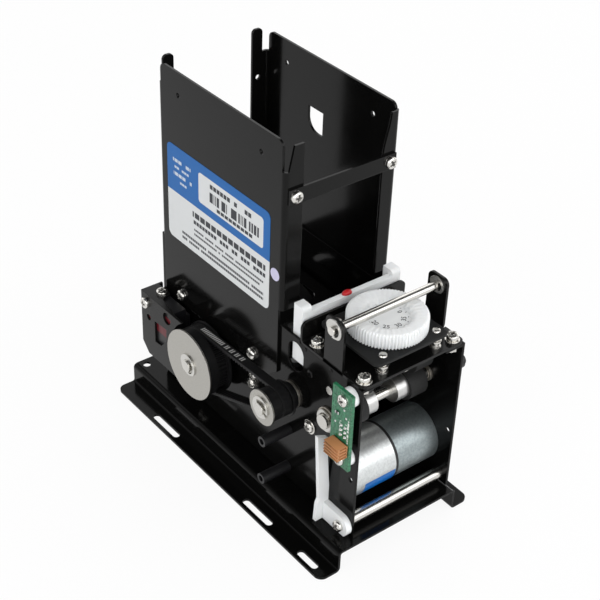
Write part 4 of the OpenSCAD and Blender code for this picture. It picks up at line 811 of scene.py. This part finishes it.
def dialScale():
    # upright digits set round the recess; the ticks between the digits are made after this
    parts = []
    level = dialLow + (dialFloor + dial["ink"]) * mm
    for k in range(dial["numbers"]):
        turn = 2 * math.pi * k / dial["numbers"]
        text = bpy.data.curves.new("digits", "FONT")
        text.body = str(k * 5)
        text.size = dial["fontSize"] * mm
        text.align_x, text.align_y = "CENTER", "CENTER"
        text.extrude = dial["ink"] * mm
        text.resolution_u = 3
        made = bpy.data.objects.new("digits", text)
        bpy.context.scene.collection.objects.link(made)
        spot = Vector((math.cos(turn), math.sin(turn), 0)) * dial["scaleRadius"] * mm
        spot += Vector((dialMiddle[0], dialMiddle[1], level))
        made.matrix_world = Matrix.Translation(spot) @ Matrix.Rotation(turn + math.pi / 2, 4, "Z")
        parts.append(made)
    bpy.context.view_layer.update()
    joined = bmesh.new()
    graph = bpy.context.evaluated_depsgraph_get()
    for made in parts:
        solid = bpy.data.meshes.new_from_object(made.evaluated_get(graph))
        solid.transform(made.matrix_world)
        joined.from_mesh(solid)
        bpy.data.objects.remove(made)
        bpy.data.meshes.remove(solid)
    mesh = bpy.data.meshes.new("dial_scale")
    joined.to_mesh(mesh)
    joined.free()
    points = np.empty(len(mesh.vertices) * 3)
    mesh.vertices.foreach_get("co", points)
    return points.reshape(-1, 3), [list(p.vertices) for p in mesh.polygons]


points, faces = dialScale()
shell = Shell()
shell.points, shell.faces, shell.count = [points], faces, len(points)
shell.shades = [np.zeros(len(points))]
tick = roundedLoop(*dial["tick"], 4)
bar = np.array([np.column_stack([tick, np.full(len(tick), z)]) for z in (0, dial["ink"] * 2)])
for k in range(dial["numbers"] * 2):
    turn = np.pi * (k + 0.5) / dial["numbers"]
    c, s = math.cos(turn), math.sin(turn)
    spin = np.array([[s, -c, 0], [c, s, 0], [0, 0, 1]])
    place = [dialMiddle[0] + dial["tickRadius"] * c * mm, dialMiddle[1] + dial["tickRadius"] * s * mm,
             dialLow + dialFloor * mm]
    shell.grid(bar @ spin.T * mm + place, closedV=True, caps=True)
ink = sheetFinish("scale_ink", (0.02, 0.02, 0.022), 0.5)
shell.piece("dial_scale", ink, "dial", "black_plastic")
print("dial made")


# red index mark: a low dome on the lever's bar

mark = {"grow": 0.5, "height": 1.5, "skirt": 0.25}
low, high = corners("lever_mark")
size = (high - low) / 2 + mark["grow"] * mm
a = np.linspace(0, 2 * np.pi, 40, endpoint=False)
lift = np.linspace(0, np.pi / 2, 9)[:, None]
# a flattened half ball on a short upright skirt
dome = np.stack([size[0] * np.cos(lift) * np.cos(a), size[1] * np.cos(lift) * np.sin(a),
                 mark["height"] * mm * np.sin(lift) + 0 * a], -1)
skirt = np.array([0, 0, mark["skirt"] * mm])
rows = np.concatenate([dome[:1] * 0 - skirt, dome[:1] - skirt, dome])
shell = Shell()
shell.grid(rows + skirt + [*((low + high) / 2)[:2], low[2]], closedV=True)
shell.piece("index_dome", redPlastic, "lever", "red_plastic", ["lever_mark"], 40)


# stand-offs under the dial plate: turned posts between two collars

standoff = {"bore": 1.22, "post": 1.9, "collar": 2.7, "collarHeight": 1.1}
shell = Shell()
for points in islands("dial_spacers"):
    low, high = points.min(0), points.max(0)
    seat = np.array([*((low + high) / 2)[:2], low[2]])
    tall = (high[2] - low[2]) / mm
    bore, post, wide, step = (standoff[k] for k in ("bore", "post", "collar", "collarHeight"))
    rows = np.array([(bore, 0), (wide, 0), (wide, step), (post, step + 0.3), (post, tall / 2 - 0.6),
                     (wide, tall / 2 - 0.4), (wide, tall / 2 + 0.4), (post, tall / 2 + 0.6),
                     (post, tall - step - 0.3), (wide, tall - step), (wide, tall), (bore, tall)]) * mm
    shell.grid(lathe(rows, seat, (0, 0, 1), 40), closedU=True, closedV=True)
shell.piece("dial_standoffs", brightSteel, "frame", "steel", ["dial_spacers"])


# label with round corners, and a small round sticker

sheetSize = {"corner": 3.0, "thick": 0.15, "dot": 3.0, "dotThick": 0.12, "dotY": -20.5, "dotZ": 120.5}


def flatSheet(outline, x, thick, centre):
    # rings from the middle to the outline, on the outer face, down the edge and back under
    loop = np.asarray(outline) * mm
    rows = []
    for share, depth in [(0, 1), (0.6, 1), (1, 1), (1, 0), (0, 0)]:
        rows.append(np.stack([np.full(len(loop), x - depth * thick * mm), centre[0] + share * loop[:, 0],
                              centre[1] + share * loop[:, 1]], -1))
    return np.array(rows)


low, high = corners("hopper_label")
face = float(high[0])
shell = Shell()
outline = roundedLoop((high[1] - low[1]) / mm, (high[2] - low[2]) / mm, sheetSize["corner"])
shell.grid(flatSheet(outline, face, sheetSize["thick"], (low + high)[1:] / 2), closedV=True)
shell.piece("printed_label", labelPrint, "frame", "label_film", ["hopper_label"])
a = np.linspace(0, 2 * np.pi, 40, endpoint=False)
outline = np.stack([np.cos(a), np.sin(a)], -1) * sheetSize["dot"]
shell = Shell()
spot = (sheetSize["dotY"] * mm, sheetSize["dotZ"] * mm)
shell.grid(flatSheet(outline, face, sheetSize["dotThick"], spot), closedV=True)
lilac = sheetFinish("lilac_sticker", (0.56, 0.54, 0.72), 0.5)
shell.piece("round_sticker", lilac, "frame", "label_film")
print("labels made")


# small parts on the sensor board

def roundedBox(shell, low, high, bevel):
    # a box whose upright outline has round corners and whose two ends are chamfered
    low, high = np.asarray(low, float), np.asarray(high, float)
    size, centre = high - low, (low + high) / 2
    rows = []
    for x, inset in [(low[0], bevel), (low[0] + bevel, 0), (high[0] - bevel, 0), (high[0], bevel)]:
        loop = roundedLoop(size[1] - 2 * inset, size[2] - 2 * inset, bevel, 3) + centre[1:]
        rows.append(np.concatenate([np.full((len(loop), 1), x), loop], 1))
    shell.grid(np.array(rows) * mm, closedV=True, caps=True)


boardParts = {"jointRadius": 0.8, "jointHeight": 0.7, "chip": (8.6, 27.6, 2.0, 1.3, 0.6),
              "joints": [(y, z) for z in (17.2, 19.8, 22.4) for y in (3.2, 5.8)],
              "vias": [(9.6, 13.0), (3.0, 27.5), (9.8, 22.0), (4.5, 31.0)]}
low, high = corners("sensor_board", mm)
solder, chips = Shell(), Shell()
for y, z in boardParts["joints"]:
    drop = np.array([(1, -0.1), (0.85, 0.35), (0.45, 0.75), (0.3, 1.15), (0, 1.2)])
    drop = drop * [boardParts["jointRadius"] * mm, boardParts["jointHeight"] * mm]
    solder.grid(lathe(drop, (low + [0, y, z]) * mm, (-1, 0, 0), 20), closedV=True)
for y, z in boardParts["vias"]:
    flat = np.array([(0.55, -0.05), (0.55, 0.05), (0.3, 0.07), (0, 0.02)]) * mm
    solder.grid(lathe(flat, (low + [0, y, z]) * mm, (-1, 0, 0), 18), closedV=True)
y, z, wide, tall, thick = boardParts["chip"]
here = low + [0, y, z]
roundedBox(chips, here - [thick, wide / 2, tall / 2], here + [0, wide / 2, tall / 2], 0.12)
for side in (-1, 1):
    end = here + [0, side * (wide / 2 - 0.1), 0]
    roundedBox(solder, end - [thick + 0.05, 0.3, tall / 2 + 0.05], end + [0, 0.3, tall / 2 + 0.05], 0.12)
ceramic = sheetFinish("chip_ceramic", (0.05, 0.05, 0.055), 0.4)
chips.piece("board_chip", ceramic, "frame", "board_green")
tin = turnedFinish("solder", (0.70, 0.70, 0.69), 0.26, (1, 1, 1))
solder.piece("board_solder", tin, "frame", "board_green")

# plug: a ribbed housing with four dark chambers and a pin in each
plugParts = {"ways": 4, "rib": 0.6, "groove": 0.6, "wall": 0.7, "chamber": 4.6, "lip": 0.1, "bevel": 0.12}
(x0, y0, z0), (x1, y1, z1) = corners("board_connector", mm)
pitch = (z1 - z0) / plugParts["ways"]
wall, groove, lip, bevel = (plugParts[k] for k in ("wall", "groove", "lip", "bevel"))
housing, pins = Shell(), Shell()
roundedBox(housing, (x0 + groove, y0 + plugParts["chamber"], z0 + lip), (x1, y1, z1 - lip), bevel)
roundedBox(housing, (x0 + groove, y0, z0 + lip), (x0 + groove + wall, y1, z1 - lip), bevel)
roundedBox(housing, (x1 - wall, y0, z0), (x1, y1, z1), bevel)
for k in range(plugParts["ways"] + 1):
    z = z0 + k * pitch
    lowZ, highZ = max(z - plugParts["rib"] / 2, z0), min(z + plugParts["rib"] / 2, z1)
    roundedBox(housing, (x0, y0, lowZ), (x1, y1, highZ), 0.1)
for k in range(plugParts["ways"]):
    x, z = (x0 + x1) / 2, z0 + (k + 0.5) * pitch
    roundedBox(pins, (x - 0.7, y0 + 0.6, z - 0.25), (x + 0.9, y0 + 5.0, z + 0.25), 0.1)
housing.piece("plug_housing", tanPlastic, "frame", "tan_plastic", ["board_connector"])
pinTin = turnedFinish("pin_tin", (0.78, 0.74, 0.62), 0.22, (1, 1, 1))
pins.piece("plug_pins", pinTin, "frame", "tan_plastic")
print("board parts made")


# motor: dark seam band, and a bare blue tag on the can

motor = {"bandWidth": 1.5, "bandRise": 0.1, "bandSunk": 0.02, "tagFrom": -130.0, "tagTo": -176.0,
         "tagX": (-10.5, 7.2), "tagThick": 0.08, "tagGap": 0.01}
axisPoint = np.array([corners("motor_gearbox")[0][0], *middle("motor_can")[1:]])
canR = np.ptp(corners("motor_can"), axis=0)[2] / 2
wide, rise = motor["bandWidth"] * mm, motor["bandRise"] * mm
band = [(canR, -wide / 2), (canR + rise, -wide / 2 + rise), (canR + rise, wide / 2 - rise), (canR, wide / 2)]
shell = Shell()
band = np.array(band) - [motor["bandSunk"] * mm, 0]
shell.grid(lathe(band, axisPoint, (1, 0, 0), 96), closedU=True, closedV=True)
shell.piece("motor_seam_band", blackPlastic, "frame", "motor_steel")
a = np.radians(np.linspace(motor["tagFrom"], motor["tagTo"], 25))
x = np.linspace(*motor["tagX"], 9) * mm
rows = []
for radius in (canR + motor["tagGap"] * mm, canR + motor["tagThick"] * mm):
    y, z = axisPoint[1] + radius * np.cos(a), axisPoint[2] + radius * np.sin(a)
    rows.append(np.stack([np.broadcast_to(x[None], (25, 9)), np.broadcast_to(y[:, None], (25, 9)),
                          np.broadcast_to(z[:, None], (25, 9))], -1))
under, over = rows
rim = [np.concatenate([s[0], s[1:, -1], s[-1, -2::-1], s[-2:0:-1, 0]]) for s in (under, over)]
shell = Shell()
shell.grid(under)
shell.grid(over)
shell.grid(np.array(rim), closedV=True)
shell.piece("motor_tag", sheetFinish("blue_tag", (0.003, 0.125, 0.44), 0.34), "frame", "motor_steel")
print("motor dressed")


# small black rivet heads on the left plate, and a cap over each end of the lever's pivot

rivet = {"radius": 0.9, "height": 0.4, "spots": [(-41.5, 93.0), (-58.9, 92.6)], "capRadius": 1.9,
         "capHeight": 0.5}
leftWall = float(corners("left_chassis_plate")[0][0])
rightWall = float(corners("right_chassis_plate")[1][0])
pivot = next(j["pos_m"] for j in frame["joints"] if j["name"] == "lever_tilt")
heads = [(leftWall, y * mm, z * mm, rivet["radius"], rivet["height"]) for y, z in rivet["spots"]]
heads += [(wall, *pivot[1:], rivet["capRadius"], rivet["capHeight"]) for wall in (leftWall, rightWall)]
shell = Shell()
for x, y, z, radius, height in heads:
    # a low dome: rows of radius and height, in shares of its own size
    dome = [(1, 0), (1, 0.25), (0.85, 0.7), (0.5, 0.95), (0, 1)]
    rows = np.array(dome) * [radius * mm, height * mm]
    shell.grid(lathe(rows, np.array([x, y, z]), (np.sign(x), 0, 0), 28), closedV=True, caps=True)
shell.piece("plate_rivets", blackPaint, "frame", "black_paint")


# small cap screws round the feed shaft's bearing flange

bearing = {"reach": 4.9, "angles": (61.0, 193.0, 307.0), "radius": 0.95, "height": 0.9, "face": 1.0}
axisY, axisZ = middle("feed_shaft")[1:]
shell = Shell()
for turn in np.radians(bearing["angles"]):
    spot = np.array([leftWall - bearing["face"] * mm, axisY + bearing["reach"] * mm * math.cos(turn),
                     axisZ + bearing["reach"] * mm * math.sin(turn)])
    cap = [(1, -0.1), (1, 0.8), (0.85, 1), (0.5, 1), (0.45, 0.45), (0, 0.4)]
    rows = np.array(cap) * [bearing["radius"] * mm, bearing["height"] * mm]
    shell.grid(lathe(rows, spot, (-1, 0, 0), 24), closedV=True)
shell.piece("bearing_screws", nickel, "frame", "plated_steel")


# camera at the photograph's place, in a 600 by 600 frame

view = {"place": (-0.3220, -0.4021, 0.4451), "yaw": 40.0, "pitch": -35.81, "roll": 2.72, "lens": 82.36,
        "sensor": 36.0, "centre": (315.08, 322.29), "picture": 600}


def addCamera():
    yaw, pitch, roll = (math.radians(view[k]) for k in ("yaw", "pitch", "roll"))
    ahead = np.array([math.sin(yaw) * math.cos(pitch), math.cos(yaw) * math.cos(pitch), math.sin(pitch)])
    right = np.array([math.cos(yaw), -math.sin(yaw), 0])
    up = np.cross(right, ahead)
    turned = np.eye(4)
    turned[:3, 0] = right * math.cos(roll) + up * math.sin(roll)
    turned[:3, 1] = -right * math.sin(roll) + up * math.cos(roll)
    turned[:3, 2] = -ahead
    turned[:3, 3] = view["place"]
    data = bpy.data.cameras.new("camera")
    data.sensor_width = view["sensor"]
    data.lens = view["lens"]
    data.shift_x = (view["picture"] / 2 - view["centre"][0]) / view["picture"]
    data.shift_y = (view["centre"][1] - view["picture"] / 2) / view["picture"]
    made = bpy.data.objects.new("camera", data)
    made.matrix_world = Matrix(turned.tolist())
    bpy.context.scene.collection.objects.link(made)
    bpy.context.scene.camera = made


addCamera()


# studio: pale floor, white surroundings and a ring of soft lamps

studio = {"floorSize": 6.0, "floorZ": -0.0004, "floorGlow": 0.9, "worldFill": 0.5, "zenith": 0.1,
          "lamps": [("key", (-0.3, -1.15, 0.6), 1.0, 8.0), ("left", (-1.0, -0.2, 0.65), 0.7, 3.6),
                    ("back", (0.65, 0.75, 0.9), 0.8, 2.6), ("right", (0.5, -0.85, 0.6), 0.7, 3.0),
                    ("far", (1.15, 0.1, 0.55), 0.9, 2.4), ("rear", (-0.35, 1.1, 0.6), 0.9, 2.4)]}


def seenRays(tree):
    # 1 for what the camera, gloss and glass see, 0 for plain lighting
    path = tree.nodes.new("ShaderNodeLightPath")
    seen = [Val(tree, path.outputs[k]) for k in ("Is Camera Ray", "Is Glossy Ray", "Is Transmission Ray")]
    return seen[0] | seen[1] | seen[2]


def addStudio():
    world = bpy.data.worlds.new("studio")
    world.use_nodes = True
    back = world.node_tree.nodes["Background"]
    back.inputs["Color"].default_value = (1, 1, 1, 1)
    seen = seenRays(world.node_tree)
    # white round about, dim overhead as a studio's ceiling is
    parts = world.node_tree.nodes.new("ShaderNodeSeparateXYZ")
    way = addNode(world.node_tree, "ShaderNodeTexCoord", out="Generated")
    world.node_tree.links.new(way.socket, parts.inputs[0])
    sky = Val(world.node_tree, parts.outputs[2]).ramp(0.12, 0.62, 1.0, studio["zenith"])
    strength = seen * (sky - studio["worldFill"]) + studio["worldFill"]
    world.node_tree.links.new(strength.socket, back.inputs["Strength"])
    bpy.context.scene.world = world

    half = studio["floorSize"] / 2
    mesh = bpy.data.meshes.new("floor")
    square = [(-half, -half), (half, -half), (half, half), (-half, half)]
    mesh.from_pydata([(x, y, studio["floorZ"]) for x, y in square], [], [(0, 1, 2, 3)])
    floor = bpy.data.objects.new("floor", mesh)
    bpy.context.scene.collection.objects.link(floor)
    material = bpy.data.materials.new("pale_floor")
    material.use_nodes = True
    tree = material.node_tree
    tree.nodes.remove(tree.nodes["Principled BSDF"])
    matt = addNode(tree, "ShaderNodeBsdfDiffuse", None, {"Color": (0.9, 0.9, 0.9)})
    glow = addNode(tree, "ShaderNodeEmission", None, {"Color": (1.0, 1.0, 1.0), "Strength": 1.0})
    share = seenRays(tree) * studio["floorGlow"]
    mixed = addNode(tree, "ShaderNodeMixShader", None, {0: share, 1: matt, 2: glow})
    tree.links.new(mixed.socket, tree.nodes["Material Output"].inputs["Surface"])
    mesh.materials.append(material)

    target = Vector((0, 0, 0.08))
    for name, place, size, power in studio["lamps"]:
        lamp = bpy.data.lights.new(name, "AREA")
        lamp.energy = power
        lamp.size = size
        made = bpy.data.objects.new(name, lamp)
        made.location = place
        made.rotation_euler = (target - Vector(place)).to_track_quat("-Z", "Y").to_euler()
        bpy.context.scene.collection.objects.link(made)


addStudio()
bpy.context.scene.view_settings.view_transform = "Standard"
print("camera and studio set")
